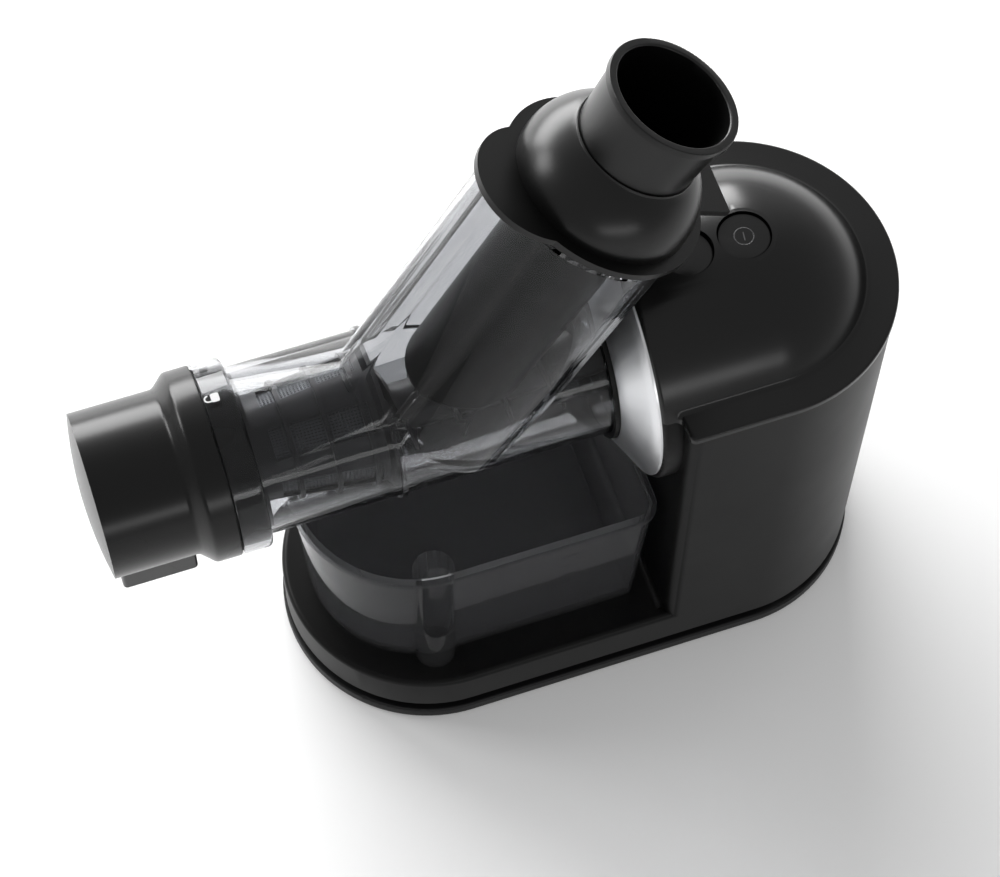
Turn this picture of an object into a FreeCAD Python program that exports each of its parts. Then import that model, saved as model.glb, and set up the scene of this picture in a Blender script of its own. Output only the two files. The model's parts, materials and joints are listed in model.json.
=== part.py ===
import FreeCAD, Part
import Sketcher
import math
import os
from FreeCAD import Placement, Rotation, Vector

# Cold press juicer: a stadium shaped base with a motor tower at its right end, a level clear
# juicing chamber in front of it, a slanted clear feed tube with a black pusher, a black end
# cap, and a clear jug under the chamber. Millimetres, Z up. While the pieces are drawn, X is
# 0 at the centre of the base's left round end; every piece is then moved by frame_shift, so
# that the origin is under the middle of the whole object.

doc = FreeCAD.newDocument("cold_press_juicer")
sheet = doc.addObject("Spreadsheet::Sheet", "Sizes")


class Measure:
    """A size in the sheet, or a sum of sizes: the text binds a property, the value serves code."""

    def __init__(self, text, value):
        self.text = text
        self.value = value

    def __add__(self, other):
        return Measure(f"({self.text} + {text_of(other)})", self.value + number(other))

    def __radd__(self, other):
        return Measure(f"({text_of(other)} + {self.text})", number(other) + self.value)

    def __sub__(self, other):
        return Measure(f"({self.text} - {text_of(other)})", self.value - number(other))

    def __rsub__(self, other):
        return Measure(f"({text_of(other)} - {self.text})", number(other) - self.value)

    def __mul__(self, other):
        return Measure(f"({self.text} * {text_of(other)})", self.value * number(other))

    def __rmul__(self, other):
        return Measure(f"({text_of(other)} * {self.text})", number(other) * self.value)

    def __truediv__(self, other):
        return Measure(f"({self.text} / {text_of(other)})", self.value / number(other))

    def __neg__(self):
        return Measure(f"(0 - {self.text})", -self.value)

    def __float__(self):
        return float(self.value)


def text_of(size):
    return size.text if isinstance(size, Measure) else repr(size)


def number(size):
    return size.value if isinstance(size, Measure) else size


def dim(alias, value):
    """Put one driving size in the sheet under its alias."""
    row = len(aliases) + 1
    sheet.set(f"A{row}", alias)
    sheet.set(f"B{row}", str(value))
    sheet.setAlias(f"B{row}", alias)
    aliases.append(alias)
    return Measure(f"Sizes.{alias}", float(value))


aliases = []

# Base and tower
base_span = dim("base_span", 143)
plate_radius = dim("plate_radius", 70)
shell_radius = dim("shell_radius", 69)
shell_wall = dim("shell_wall", 2.6)
foot_radius = dim("foot_radius", 8)
foot_proud = dim("foot_proud", 2)
foot_height = dim("foot_height", 4)
foot_inset = dim("foot_inset", 22)
plate_thick = dim("plate_thick", 6)
plinth_gap = dim("plinth_gap", 6.3)
plinth_inset = dim("plinth_inset", 3.5)
deck_height = dim("deck_height", 36.8)
deck_round = dim("deck_round", 3)
deck_fillet = dim("deck_fillet", 4)
tower_front = dim("tower_front", 96.5)
tower_corner = dim("tower_corner", 6)
tower_height = dim("tower_height", 213)
lip_gap = dim("lip_gap", 0.3)
# Top cover
brim_thick = dim("brim_thick", 3.4)
brim_radius = dim("brim_radius", 69.6)
brim_round = dim("brim_round", 1.2)
dome_radius = dim("dome_radius", 62)
dome_crease = dim("dome_crease", 3)
axis_height = dim("axis_height", 189)
snout_front = dim("snout_front", 88)
snout_round = dim("snout_round", 2.4)
# Trim ring and hub
ring_outer = dim("ring_outer", 60)
ring_inner = dim("ring_inner", 40)
ring_nose = dim("ring_nose", 75.7)
ring_lip = dim("ring_lip", 1)
ring_wall = dim("ring_wall", 2.2)
hub_wall = dim("hub_wall", 2.4)
hub_floor = dim("hub_floor", 3)
seat_gap = dim("seat_gap", 0.3)
# Chamber and feed tube
chamber_radius = dim("chamber_radius", 37)
chamber_wall = dim("chamber_wall", 2.6)
chamber_right = dim("chamber_right", 82)
chamber_end_wall = dim("chamber_end_wall", 3)
collar_radius = dim("collar_radius", 42)
collar_left = dim("collar_left", -92.6)
collar_right = dim("collar_right", -79.6)
bead_place = dim("bead_place", -20)
bead_width = dim("bead_width", 2.4)
bead_proud = dim("bead_proud", 1.4)
tube_tilt = dim("tube_tilt", 28.05)
tube_cross = dim("tube_cross", 6.7)
tube_radius = dim("tube_radius", 40)
lobe_radius = dim("lobe_radius", 24)
lobe_offset = dim("lobe_offset", 30)
tube_wall = dim("tube_wall", 2.6)
tube_top = dim("tube_top", 146.8)
nozzle_place = dim("nozzle_place", -6)
nozzle_radius = dim("nozzle_radius", 8.5)
nozzle_bore = dim("nozzle_bore", 6)
nozzle_drop = dim("nozzle_drop", 8)
# Strainer and auger
strainer_left = dim("strainer_left", -73)
strainer_right = dim("strainer_right", -24)
strainer_small = dim("strainer_small", 23.5)
strainer_large = dim("strainer_large", 29.5)
strainer_wall = dim("strainer_wall", 1.6)
mesh_wall = dim("mesh_wall", 0.6)
mesh_gap = dim("mesh_gap", 0.05)
rib_proud = dim("rib_proud", 1.8)
rib_width = dim("rib_width", 2)
auger_gap = dim("auger_gap", 1.1)
auger_core = dim("auger_core", 11)
auger_pitch = dim("auger_pitch", 22)
auger_tip = dim("auger_tip", 5)
tip_length = dim("tip_length", 34)
flight_thick = dim("flight_thick", 3.2)
flight_root = dim("flight_root", 3)
drive_flats = dim("drive_flats", 12)
drive_gap = dim("drive_gap", 0.15)
drive_reach = dim("drive_reach", 9)
neck_radius_auger = dim("neck_radius_auger", 10.5)
# End cap
cap_gap = dim("cap_gap", 0.8)
cap_face = dim("cap_face", -147.7)
cap_bulge = dim("cap_bulge", 3.8)
cap_radius = dim("cap_radius", 36.4)
cap_wall = dim("cap_wall", 2.4)
cap_round = dim("cap_round", 1.2)
cap_collar_left = dim("cap_collar_left", -104.5)
cap_flare_left = dim("cap_flare_left", -110.5)
cap_collar_radius = dim("cap_collar_radius", 42)
sleeve_length = dim("sleeve_length", 12)
sleeve_wall = dim("sleeve_wall", 2.2)
cap_boss_radius = dim("cap_boss_radius", 9)
bush_radius = dim("bush_radius", 7)
bush_length = dim("bush_length", 12)
chute_width = dim("chute_width", 50)
chute_left = dim("chute_left", -144.5)
chute_right = dim("chute_right", -111)
chute_drop = dim("chute_drop", 44)
chute_round = dim("chute_round", 2)
cap_flare_round = dim("cap_flare_round", 3.5)
# Pusher
flange_radius = dim("flange_radius", 44.1)
flange_lobe = dim("flange_lobe", 28.1)
flange_thick = dim("flange_thick", 3)
flange_gap = dim("flange_gap", 0.3)
plug_depth = dim("plug_depth", 2)
tab_width = dim("tab_width", 24.6)
tab_reach = dim("tab_reach", 57.8)
head_radius = dim("head_radius", 39.1)
head_wall = dim("head_wall", 2.6)
head_step = dim("head_step", 2)
neck_height = dim("neck_height", 176)
neck_radius = dim("neck_radius", 25.7)
rim_height = dim("rim_height", 206.6)
rim_radius = dim("rim_radius", 28.5)
rim_bore = dim("rim_bore", 24.8)
rim_band = dim("rim_band", 3)
rod_radius = dim("rod_radius", 24.5)
rod_wall = dim("rod_wall", 2.4)
rod_clear = dim("rod_clear", 22.6)
rod_round = dim("rod_round", 4)
dome_arc = dim("dome_arc", 29)
fit_gap = dim("fit_gap", 0.05)
# Jug
jug_left = dim("jug_left", -62.4)
jug_right = dim("jug_right", 91.5)
jug_half = dim("jug_half", 56.8)
jug_top = dim("jug_top", 126)
jug_draft = dim("jug_draft", 5.5)
jug_wall = dim("jug_wall", 2.2)
jug_floor = dim("jug_floor", 2.6)
jug_foot = dim("jug_foot", 5)
jug_corner = dim("jug_corner", 9)
jug_rim_proud = dim("jug_rim_proud", 1.6)
jug_rim_height = dim("jug_rim_height", 2.4)
grip_place = dim("grip_place", -12)
grip_radius = dim("grip_radius", 9.5)
# Drive train
plate_sheet = dim("plate_sheet", 3)
output_teeth = dim("output_teeth", 60)
idler_a_small = dim("idler_a_small", 15)
idler_a_large = dim("idler_a_large", 56)
idler_b_small = dim("idler_b_small", 14)
idler_b_large = dim("idler_b_large", 60)
motor_teeth = dim("motor_teeth", 12)
coarse_module = dim("coarse_module", 1.25)
fine_module = dim("fine_module", 1)
coarse_face = dim("coarse_face", 11)
middle_face = dim("middle_face", 8)
fine_face = dim("fine_face", 5)
gear_space = dim("gear_space", 1)
tooth_slack = dim("tooth_slack", 0.16)
output_shaft_radius = dim("output_shaft_radius", 7)
bearing_radius = dim("bearing_radius", 13)
pin_radius = dim("pin_radius", 3)
run_gap = dim("run_gap", 0.06)
post_radius = dim("post_radius", 4)
screw_radius = dim("screw_radius", 1.9)
screw_gap = dim("screw_gap", 0.1)
screw_head = dim("screw_head", 3.4)
screw_head_height = dim("screw_head_height", 2.2)
post_spread = dim("post_spread", 50)
plate_half = dim("plate_half", 57)
motor_radius = dim("motor_radius", 31)
motor_length = dim("motor_length", 44)
armature_gap = dim("armature_gap", 0.5)
motor_shaft_radius = dim("motor_shaft_radius", 3)
bracket_thick = dim("bracket_thick", 3)
can_wall = dim("can_wall", 1.6)
magnet_thick = dim("magnet_thick", 6)
fan_width = dim("fan_width", 7)
fan_radius = dim("fan_radius", 26)
fan_blades = dim("fan_blades", 9)
# Buttons and electrics
button_radius = dim("button_radius", 11.4)
button_well = dim("button_well", 11.8)
well_wall = dim("well_wall", 1.8)
well_depth = dim("well_depth", 12)
button_sink = dim("button_sink", 2.2)
button_height = dim("button_height", 5.5)
button_spacing = dim("button_spacing", 26)
button_travel = dim("button_travel", 1)
stem_radius = dim("stem_radius", 2.5)
board_drop = dim("board_drop", 17.5)
board_thick = dim("board_thick", 1.6)
board_half = dim("board_half", 17)
switch_size = dim("switch_size", 6)
switch_height = dim("switch_height", 4)
gland_height = dim("gland_height", 26)
gland_radius = dim("gland_radius", 6)
gland_bore = dim("gland_bore", 3.2)

# The whole object runs from the bulging cap face to the base plate's right end.
right_end = base_span + plate_radius
left_end = cap_face - cap_bulge
frame_shift = (left_end + right_end) * -0.5
doc.recompute()

ALONG_X = Rotation(Vector(0, 1, 0), 90)
ALONG_Y = Rotation(Vector(1, 0, 0), 90)
UPRIGHT = Rotation()
TILT = Rotation(Vector(0, 1, 0), float(tube_tilt))


def bind(thing, prop, size):
    """Tie a property to the sheet, or set a plain number or choice."""
    if isinstance(size, Measure):
        thing.setExpression(prop, size.text)
    else:
        setattr(thing, prop, size)


def place(thing, x=0, y=0, z=0, turn=UPRIGHT):
    """Put an object at a point of the drawing frame, each coordinate tied to the sheet."""
    thing.Placement = Placement(Vector(float(x), float(y), float(z)), turn)
    for axis, size in (("x", x), ("y", y), ("z", z)):
        if isinstance(size, Measure):
            thing.setExpression(f"Placement.Base.{axis}", size.text)
    spots[thing.Name] = x
    return thing


spots = {}
nodes = []


def node(thing, label):
    """Name a finished sub-part and move it into the part's own frame."""
    thing.Label = label
    shift = frame_shift + spots.get(thing.Name, 0)
    thing.setExpression("Placement.Base.x", shift.text)
    nodes.append(thing)
    return thing


def make(kind, name, **props):
    thing = doc.addObject(kind, name)
    for prop, size in props.items():
        bind(thing, prop, size)
    return thing


def box(name, x, y, z):
    """A block from three (low, high) pairs."""
    block = make("Part::Box", name, Length=x[1] - x[0], Width=y[1] - y[0], Height=z[1] - z[0])
    return place(block, x[0], y[0], z[0])


def rod_up(name, x, y, z, radius):
    """An upright cylinder from z[0] to z[1]."""
    return place(make("Part::Cylinder", name, Radius=radius, Height=z[1] - z[0]), x, y, z[0])


def rod_x(name, x, radius, y=0, z=axis_height):
    """A level cylinder from x[0] to x[1], on the chamber's axis unless told otherwise."""
    return place(make("Part::Cylinder", name, Radius=radius, Height=x[1] - x[0]), x[0], y, z, ALONG_X)


def tube_frame(thing):
    """Put an object drawn about its own Z axis on the slanted feed tube's axis."""
    return place(thing, tube_cross, 0, axis_height, TILT)


def keyhole(name, main, lobe, low, high):
    """A prism along the feed tube's own axis: a main circle with a smaller lobe on its left."""
    round_main = place(make("Part::Cylinder", f"{name}_main", Radius=main, Height=high - low), 0, 0, low)
    round_lobe = place(make("Part::Cylinder", f"{name}_lobe", Radius=lobe, Height=high - low),
                       -lobe_offset, 0, low)
    return fuse(name, round_main, round_lobe)


def fuse(name, *parts):
    thing = doc.addObject("Part::MultiFuse", name)
    thing.Shapes = list(parts)
    thing.Refine = True
    return thing


def cut(name, base, *tools):
    tool = tools[0] if len(tools) == 1 else fuse(name + "_tools", *tools)
    thing = doc.addObject("Part::Cut", name)
    thing.Base = base
    thing.Tool = tool
    thing.Refine = True
    return thing


def common(name, base, tool):
    thing = doc.addObject("Part::MultiCommon", name)
    thing.Shapes = [base, tool]
    thing.Refine = True
    return thing


def rounded(name, base, radius, wanted):
    """Round the edges that the wanted function picks."""
    doc.recompute()
    thing = doc.addObject("Part::Fillet", name)
    thing.Base = base
    reach = float(radius)
    picked = [i for i, edge in enumerate(base.Shape.Edges, 1) if wanted(edge)]
    if not picked:
        raise ValueError(f"{name}: no edge was picked")
    thing.Edges = [(i, reach, reach) for i in picked]
    return thing


def near(value, size, slack=0.01):
    return abs(value - float(size)) < slack


def flat_at(edge, height, slack=0.01):
    """Whether all of an edge lies at one height."""
    box_ = edge.BoundBox
    return near(box_.ZMin, height, slack) and near(box_.ZMax, height, slack)


def upright_at(edge, x):
    """Whether an edge is a straight upright one at this x."""
    box_ = edge.BoundBox
    return near(box_.XMin, x) and near(box_.XMax, x) and box_.YLength < 0.01 and box_.ZLength > 1


def stadium(name, radius, z, left=0, right=base_span):
    """A prism with two round ends, centred on y = 0."""
    ends = [rod_up(f"{name}_end_{i}", x, 0, z, radius) for i, x in enumerate((left, right))]
    middle = box(f"{name}_middle", (left, right), (-radius, radius), z)
    return fuse(name, middle, *ends)


def arc_between(start, end, radius, left):
    """The short arc from start to end that turns left or right on its way."""
    middle = (start + end) * 0.5
    chord = end - start
    side = Vector(-chord.y, chord.x, 0).normalize()
    rise = math.sqrt(radius ** 2 - (chord.Length / 2) ** 2)
    centre = middle + side * (rise if left else -rise)
    first, last = (start, end) if left else (end, start)
    low = math.atan2(first.y - centre.y, first.x - centre.x)
    high = math.atan2(last.y - centre.y, last.x - centre.x)
    if high < low:
        high += 2 * math.pi
    return Part.ArcOfCircle(Part.Circle(centre, Vector(0, 0, 1), radius), low, high)


def polygon(body, name, role, points, arcs):
    """A closed sketch on one of the body's own planes, each corner tied to the sheet.

    arcs says which sides are round: {number of the side: (radius, whether it turns left)}.
    """
    plane = [p for p in body.Origin.OriginFeatures if p.Role == role][0]
    sketch = body.newObject("Sketcher::SketchObject", name)
    sketch.AttachmentSupport = [(plane, "")]
    sketch.MapMode = "FlatFace"
    corners = [Vector(float(a), float(b), 0) for a, b in points]
    count = len(points)
    ends = []
    for i in range(count):
        start, end = corners[i], corners[(i + 1) % count]
        if i in arcs:
            radius, left = arcs[i]
            sketch.addGeometry(arc_between(start, end, float(radius), left), False)
            ends.append((1, 2) if left else (2, 1))
        else:
            sketch.addGeometry(Part.LineSegment(start, end), False)
            ends.append((1, 2))
    for i in range(count):
        follower = (i + 1) % count
        sketch.addConstraint(Sketcher.Constraint("Coincident", i, ends[i][1], follower, ends[follower][0]))
    for i, (a, b) in enumerate(points):
        for kind, size, axis in (("DistanceX", a, -2), ("DistanceY", b, -1)):
            if abs(float(size)) < 1e-9:
                sketch.addConstraint(Sketcher.Constraint("PointOnObject", i, ends[i][0], axis))
                continue
            index = sketch.addConstraint(Sketcher.Constraint(kind, -1, 1, i, ends[i][0], float(size)))
            if isinstance(size, Measure):
                sketch.setExpression(f"Constraints[{index}]", size.text)
    for i, (radius, _) in arcs.items():
        index = sketch.addConstraint(Sketcher.Constraint("Radius", i, float(radius)))
        if isinstance(radius, Measure):
            sketch.setExpression(f"Constraints[{index}]", radius.text)
    return sketch


def turned(name, points, axis="H_Axis", rounds=(), arcs=None):
    """A body of revolution from (along, radius) corners; rounds are (along, radius, fillet)."""
    body = doc.addObject("PartDesign::Body", name)
    if axis == "V_Axis":
        points = [(radius, along) for along, radius in points]
    sketch = polygon(body, f"{name}_outline", "XZ_Plane", points, arcs or {})
    spin = body.newObject("PartDesign::Revolution", f"{name}_spin")
    spin.Profile = sketch
    spin.ReferenceAxis = (sketch, [axis])
    spin.Angle = 360
    body.Tip = spin
    for along, radius, fillet in rounds:
        doc.recompute()
        base = body.Tip
        picked = [f"Edge{i}" for i, edge in enumerate(base.Shape.Edges, 1)
                  if circle_at(edge, axis, float(along), float(radius))]
        edge_round = body.newObject("PartDesign::Fillet", f"{name}_round")
        edge_round.Base = (base, picked)
        bind(edge_round, "Radius", fillet)
        body.Tip = edge_round
    return body


def circle_at(edge, axis, along, radius):
    if not isinstance(edge.Curve, Part.Circle):
        return False
    centre = edge.Curve.Center
    place_ = centre.x if axis == "H_Axis" else centre.z
    return near(place_, along, 0.02) and near(edge.Curve.Radius, radius, 0.02)


def on_axis(body):
    """Put a body turned about X on the chamber's axis."""
    return place(body, 0, 0, axis_height)


def solid(name, shape):
    """A sub-part whose shape only a formula gives."""
    thing = doc.addObject("Part::Feature", name)
    thing.Shape = shape
    spots[thing.Name] = shape.Placement.Base.x
    return thing


# Base plate with its plinth band, feet and screws
plate_bottom = foot_proud
plate_top = plate_bottom + plate_thick
plinth_top = plate_top + plinth_gap
skirt_bottom = plinth_top
plinth_radius = shell_radius - plinth_inset
foot_spots = [(x, side) for x in (0, base_span) for side in (-1, 1)]
foot_offset = plate_radius - foot_inset


def foot_y(side):
    return foot_offset * side


plate_slab = stadium("plate_slab", plate_radius, (plate_bottom, plate_top))
plate_edge = rounded("plate_edge", plate_slab, 1.2, lambda e: flat_at(e, plate_top))
plinth = stadium("plinth", plinth_radius, (plate_top, plinth_top))
plinth_hollow = stadium("plinth_hollow", plinth_radius - shell_wall, (plate_top, plinth_top))
plinth_band = cut("plinth_band", plinth, plinth_hollow)
foot_seats = [rod_up(f"foot_seat_{i}", x, foot_y(side), (plate_bottom, foot_height + seat_gap),
                     foot_radius + seat_gap) for i, (x, side) in enumerate(foot_spots)]
vent_count = 6
vent_pitch = 8
vents = []
for i in range(vent_count):
    vent_x = base_span + (i - vent_count / 2) * vent_pitch
    vents.append(box(f"vent_{i}", (vent_x, vent_x + 3.5), (-20, 20), (plate_bottom, plate_top)))
base_screw_spots = [(x, side) for x in (24, base_span - 24) for side in (-1, 1)]
base_screw_y = plinth_radius - shell_wall - 8
base_holes = [rod_up(f"base_hole_{i}", x, base_screw_y * side, (plate_bottom, plate_top),
                     screw_radius + screw_gap) for i, (x, side) in enumerate(base_screw_spots)]
base_sinks = [rod_up(f"base_sink_{i}", x, base_screw_y * side,
                     (plate_bottom, plate_bottom + screw_head_height + 0.4),
                     screw_head + screw_gap) for i, (x, side) in enumerate(base_screw_spots)]
plate_whole = fuse("plate_whole", plate_edge, plinth_band)
node(cut("base_plate_cut", plate_whole, *foot_seats, *vents, *base_holes, *base_sinks), "base_plate")

feet = [rod_up(f"foot_{i}", x, foot_y(side), (0, foot_height), foot_radius)
        for i, (x, side) in enumerate(foot_spots)]
feet_group = fuse("feet_group", *feet)
node(rounded("feet_round", feet_group, 0.8, lambda e: flat_at(e, 0)), "rubber_feet")

# Lower casing: skirt, deck, tower and the lower half of the snout
skirt = stadium("skirt", shell_radius, (skirt_bottom, deck_height))
skirt_edge = rounded("skirt_edge", skirt, deck_round, lambda e: flat_at(e, deck_height))
tower_block = stadium("tower_block", shell_radius, (skirt_bottom, tower_height))
tower_keep = box("tower_keep", (tower_front, right_end), (-plate_radius, plate_radius),
                 (skirt_bottom, tower_height))
tower_sharp = common("tower_sharp", tower_block, tower_keep)
tower = rounded("tower", tower_sharp, tower_corner, lambda e: upright_at(e, tower_front))
snout_bar = rod_x("snout_bar", (snout_front, tower_front + tower_corner), dome_radius)
snout_soft = rounded("snout_soft", snout_bar, snout_round,
                     lambda e: near(e.BoundBox.XMin, snout_front) and near(e.BoundBox.XMax, snout_front))
below_joint = box("below_joint", (snout_front - 1, right_end), (-plate_radius, plate_radius),
                  (0, tower_height))
snout_low = common("snout_low", snout_soft, below_joint)
casing_sharp = fuse("casing_sharp", skirt_edge, tower, snout_low)
fillet_block = box("fillet_block", (tower_front - deck_fillet, tower_front),
                   (tower_corner - shell_radius, shell_radius - tower_corner),
                   (deck_height, deck_height + deck_fillet))
fillet_scoop = place(make("Part::Cylinder", "fillet_scoop", Radius=deck_fillet, Height=shell_radius * 2),
                     tower_front - deck_fillet, shell_radius, deck_height + deck_fillet, ALONG_Y)
fillet_bar = cut("fillet_bar", fillet_block, fillet_scoop)
casing_outer = fuse("casing_outer", casing_sharp, fillet_bar)
deck_underside = deck_height - shell_wall
skirt_hollow = stadium("skirt_hollow", shell_radius - shell_wall, (0, deck_underside))
tower_hollow_block = stadium("tower_hollow_block", shell_radius - shell_wall, (0, tower_height))
tower_hollow_keep = box("tower_hollow_keep", (tower_front + shell_wall, right_end),
                        (-plate_radius, plate_radius), (0, tower_height))
tower_hollow = common("tower_hollow", tower_hollow_block, tower_hollow_keep)
snout_hollow = rod_x("snout_hollow", (snout_front + shell_wall, tower_front + shell_wall),
                     dome_radius - shell_wall)
hub_outer = chamber_radius + seat_gap + hub_wall
hub_hole = rod_x("hub_hole", (snout_front, tower_front + shell_wall), hub_outer + lip_gap)
gland_hole = rod_x("gland_hole", (base_span, right_end), gland_radius - 1, 0, gland_height)
casing_cut = cut("casing_cut", casing_outer, skirt_hollow, tower_hollow, snout_hollow, hub_hole, gland_hole)
base_boss_bores = [rod_up(f"base_bore_{i}", x, base_screw_y * side, (plate_top, plinth_top + 6),
                          screw_radius + screw_gap) for i, (x, side) in enumerate(base_screw_spots)]
base_bosses = [rod_up(f"base_boss_{i}", x, base_screw_y * side, (plate_top, deck_underside), post_radius)
               for i, (x, side) in enumerate(base_screw_spots)]
boss_webs = [box(f"boss_web_{i}", (x - 1, x + 1),
                 (base_screw_y, shell_radius - 1) if side > 0 else (1 - shell_radius, -base_screw_y),
                 (plinth_top, deck_underside)) for i, (x, side) in enumerate(base_screw_spots)]
casing_bossed = fuse("casing_bossed", casing_cut, *base_bosses, *boss_webs)
node(cut("lower_casing_cut", casing_bossed, *base_boss_bores), "lower_casing")

base_screw_parts = []
for i, (x, side) in enumerate(base_screw_spots):
    shank = rod_up(f"base_shank_{i}", x, base_screw_y * side, (plate_bottom + 0.4, plinth_top + 5), screw_radius)
    head = rod_up(f"base_head_{i}", x, base_screw_y * side,
                  (plate_bottom + 0.4, plate_bottom + 0.4 + screw_head_height), screw_head)
    base_screw_parts.append(fuse(f"base_screw_{i}", shank, head))
base_screw_group = doc.addObject("Part::Compound", "base_screw_group")
base_screw_group.Links = base_screw_parts
node(base_screw_group, "base_screws")

# Cord gland in the tower's back, with the cord itself left out
gland_low = base_span + shell_radius - shell_wall - 4
gland = turned("gland", [(gland_low, gland_bore), (right_end - 0.4, gland_bore),
                         (right_end - 0.4, gland_radius + 1.4), (right_end - 1.0, gland_radius + 1.4),
                         (right_end - 1.0, gland_radius - 1.1), (gland_low, gland_radius - 1.1)])
node(place(gland, 0, 0, gland_height), "cord_gland")

# Top cover: brim, dome, upper half of the snout, wells for the two buttons
brim_top = tower_height + brim_thick
dome_top = axis_height + dome_radius
above_joint = box("above_joint", (snout_front, right_end), (-plate_radius, plate_radius),
                  (tower_height, dome_top + 1))
brim_block = stadium("brim_block", brim_radius, (tower_height, brim_top))
brim_keep = box("brim_keep", (tower_front - 0.6, right_end), (-plate_radius, plate_radius),
                (tower_height, brim_top))
brim_sharp = common("brim_sharp", brim_block, brim_keep)
brim_cornered = rounded("brim_cornered", brim_sharp, tower_corner / 2, lambda e: upright_at(e, tower_front - 0.6))
brim = rounded("brim", brim_cornered, brim_round, lambda e: flat_at(e, brim_top))
dome_bar = rod_x("dome_bar", (snout_front, base_span), dome_radius)
dome_bar_soft = rounded("dome_bar_soft", dome_bar, snout_round,
                        lambda e: near(e.BoundBox.XMin, snout_front) and near(e.BoundBox.XMax, snout_front))
dome_end = place(make("Part::Sphere", "dome_end", Radius=dome_radius), base_span, 0, axis_height)
dome_whole = fuse("dome_whole", dome_bar_soft, dome_end)
dome_upper = common("dome_upper", dome_whole, above_joint)
cover_sharp = fuse("cover_sharp", brim, dome_upper)


def crease_edge(edge):
    """The line where the dome meets the brim."""
    box_ = edge.BoundBox
    inside = box_.YMax < float(brim_radius) - 4 or box_.YMin > 4 - float(brim_radius)
    return flat_at(edge, brim_top) and inside and box_.XMin > float(tower_front) - 1 \
        and max(abs(box_.YMax), abs(box_.YMin)) < float(dome_radius)


cover_outer = rounded("cover_outer", cover_sharp, dome_crease, crease_edge)
inner_dome = dome_radius - shell_wall
dome_hollow_bar = rod_x("dome_hollow_bar", (snout_front + shell_wall, base_span), inner_dome)
dome_hollow_end = place(make("Part::Sphere", "dome_hollow_end", Radius=inner_dome), base_span, 0, axis_height)
button_spots = {"power": base_span, "reverse": base_span - button_spacing}
well_bottom = dome_top - well_depth
wells = []
well_bores = []
for name, x in button_spots.items():
    wells.append(rod_up(f"{name}_well", x, 0, (well_bottom, dome_top - 1.5), button_well + well_wall))
    well_bores.append(rod_up(f"{name}_well_bore", x, 0, (well_bottom - 1, dome_top + 1), button_well))
hub_hole_top = rod_x("hub_hole_top", (snout_front, snout_front + shell_wall), hub_outer + lip_gap)
cover_hollow = cut("cover_hollow", cover_outer, dome_hollow_bar, dome_hollow_end, hub_hole_top)
lip_outer_radius = shell_radius - shell_wall - lip_gap
lip_block = stadium("lip_block", lip_outer_radius, (tower_height - 5, tower_height))
lip_core = stadium("lip_core", lip_outer_radius - 2, (tower_height - 5, tower_height))
lip_keep = box("lip_keep", (tower_front + shell_wall + tower_corner, right_end),
               (-plate_radius, plate_radius), (tower_height - 5, tower_height))
lip_ring = cut("lip_ring", lip_block, lip_core)
lip = common("lip", lip_ring, lip_keep)
board_level = dome_top - board_drop
board_left = button_spots["reverse"] - 9
board_right = button_spots["power"] + 12
post_spots = [(x, side) for x in (board_left + 4, board_right - 4) for side in (-1, 1)]
board_posts = [rod_up(f"board_post_{i}", x, (board_half - 4) * side,
                      (board_level + board_thick, dome_top - shell_wall - 0.4), 2.5)
               for i, (x, side) in enumerate(post_spots)]
cover_whole = fuse("cover_whole", cover_hollow, lip, *wells, *board_posts)
pilots = [rod_up(f"board_pilot_{i}", x, (board_half - 4) * side,
                 (board_level + board_thick, board_level + board_thick + 5), 1.1)
          for i, (x, side) in enumerate(post_spots)]
node(cut("top_cover_cut", cover_whole, *well_bores, *pilots), "top_cover")

# Control board under the dome, its two switches and its screws
board_slab = box("board_slab", (board_left, board_right), (-board_half, board_half),
                 (board_level, board_level + board_thick))
board_holes = [rod_up(f"board_hole_{i}", x, (board_half - 4) * side, (board_level, board_level + board_thick), 1.2)
               for i, (x, side) in enumerate(post_spots)]
node(cut("control_board_cut", board_slab, *board_holes), "control_board")
board_screw_parts = []
for i, (x, side) in enumerate(post_spots):
    shank = rod_up(f"board_shank_{i}", x, (board_half - 4) * side,
                   (board_level - 1.4, board_level + board_thick + 4), 1)
    head = rod_up(f"board_head_{i}", x, (board_half - 4) * side, (board_level - 1.4, board_level), 2)
    board_screw_parts.append(fuse(f"board_screw_{i}", shank, head))
board_screw_group = doc.addObject("Part::Compound", "board_screw_group")
board_screw_group.Links = board_screw_parts
node(board_screw_group, "board_screws")
switch_top = board_level + board_thick + switch_height
for name, x in button_spots.items():
    switch = box(f"{name}_switch_body", (x - switch_size / 2, x + switch_size / 2),
                 (-switch_size / 2, switch_size / 2), (board_level + board_thick, switch_top))
    node(switch, f"{name}_switch")

# Push buttons: a cap in a well, on a stem over its switch
for name, x in button_spots.items():
    cap_top = dome_top - button_sink
    cap_bottom = cap_top - button_height
    stem_bottom = switch_top + button_travel + fit_gap
    button = turned(f"{name}_button_body",
                    [(stem_bottom, 0), (cap_top, 0), (cap_top, button_radius), (cap_bottom, button_radius),
                     (cap_bottom, button_radius - 1.6), (cap_top - 1.8, button_radius - 1.6),
                     (cap_top - 1.8, stem_radius), (stem_bottom, stem_radius)],
                    "V_Axis", [(cap_top, button_radius, 0.7)])
    node(place(button, x, 0, 0), f"{name}_button")

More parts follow.
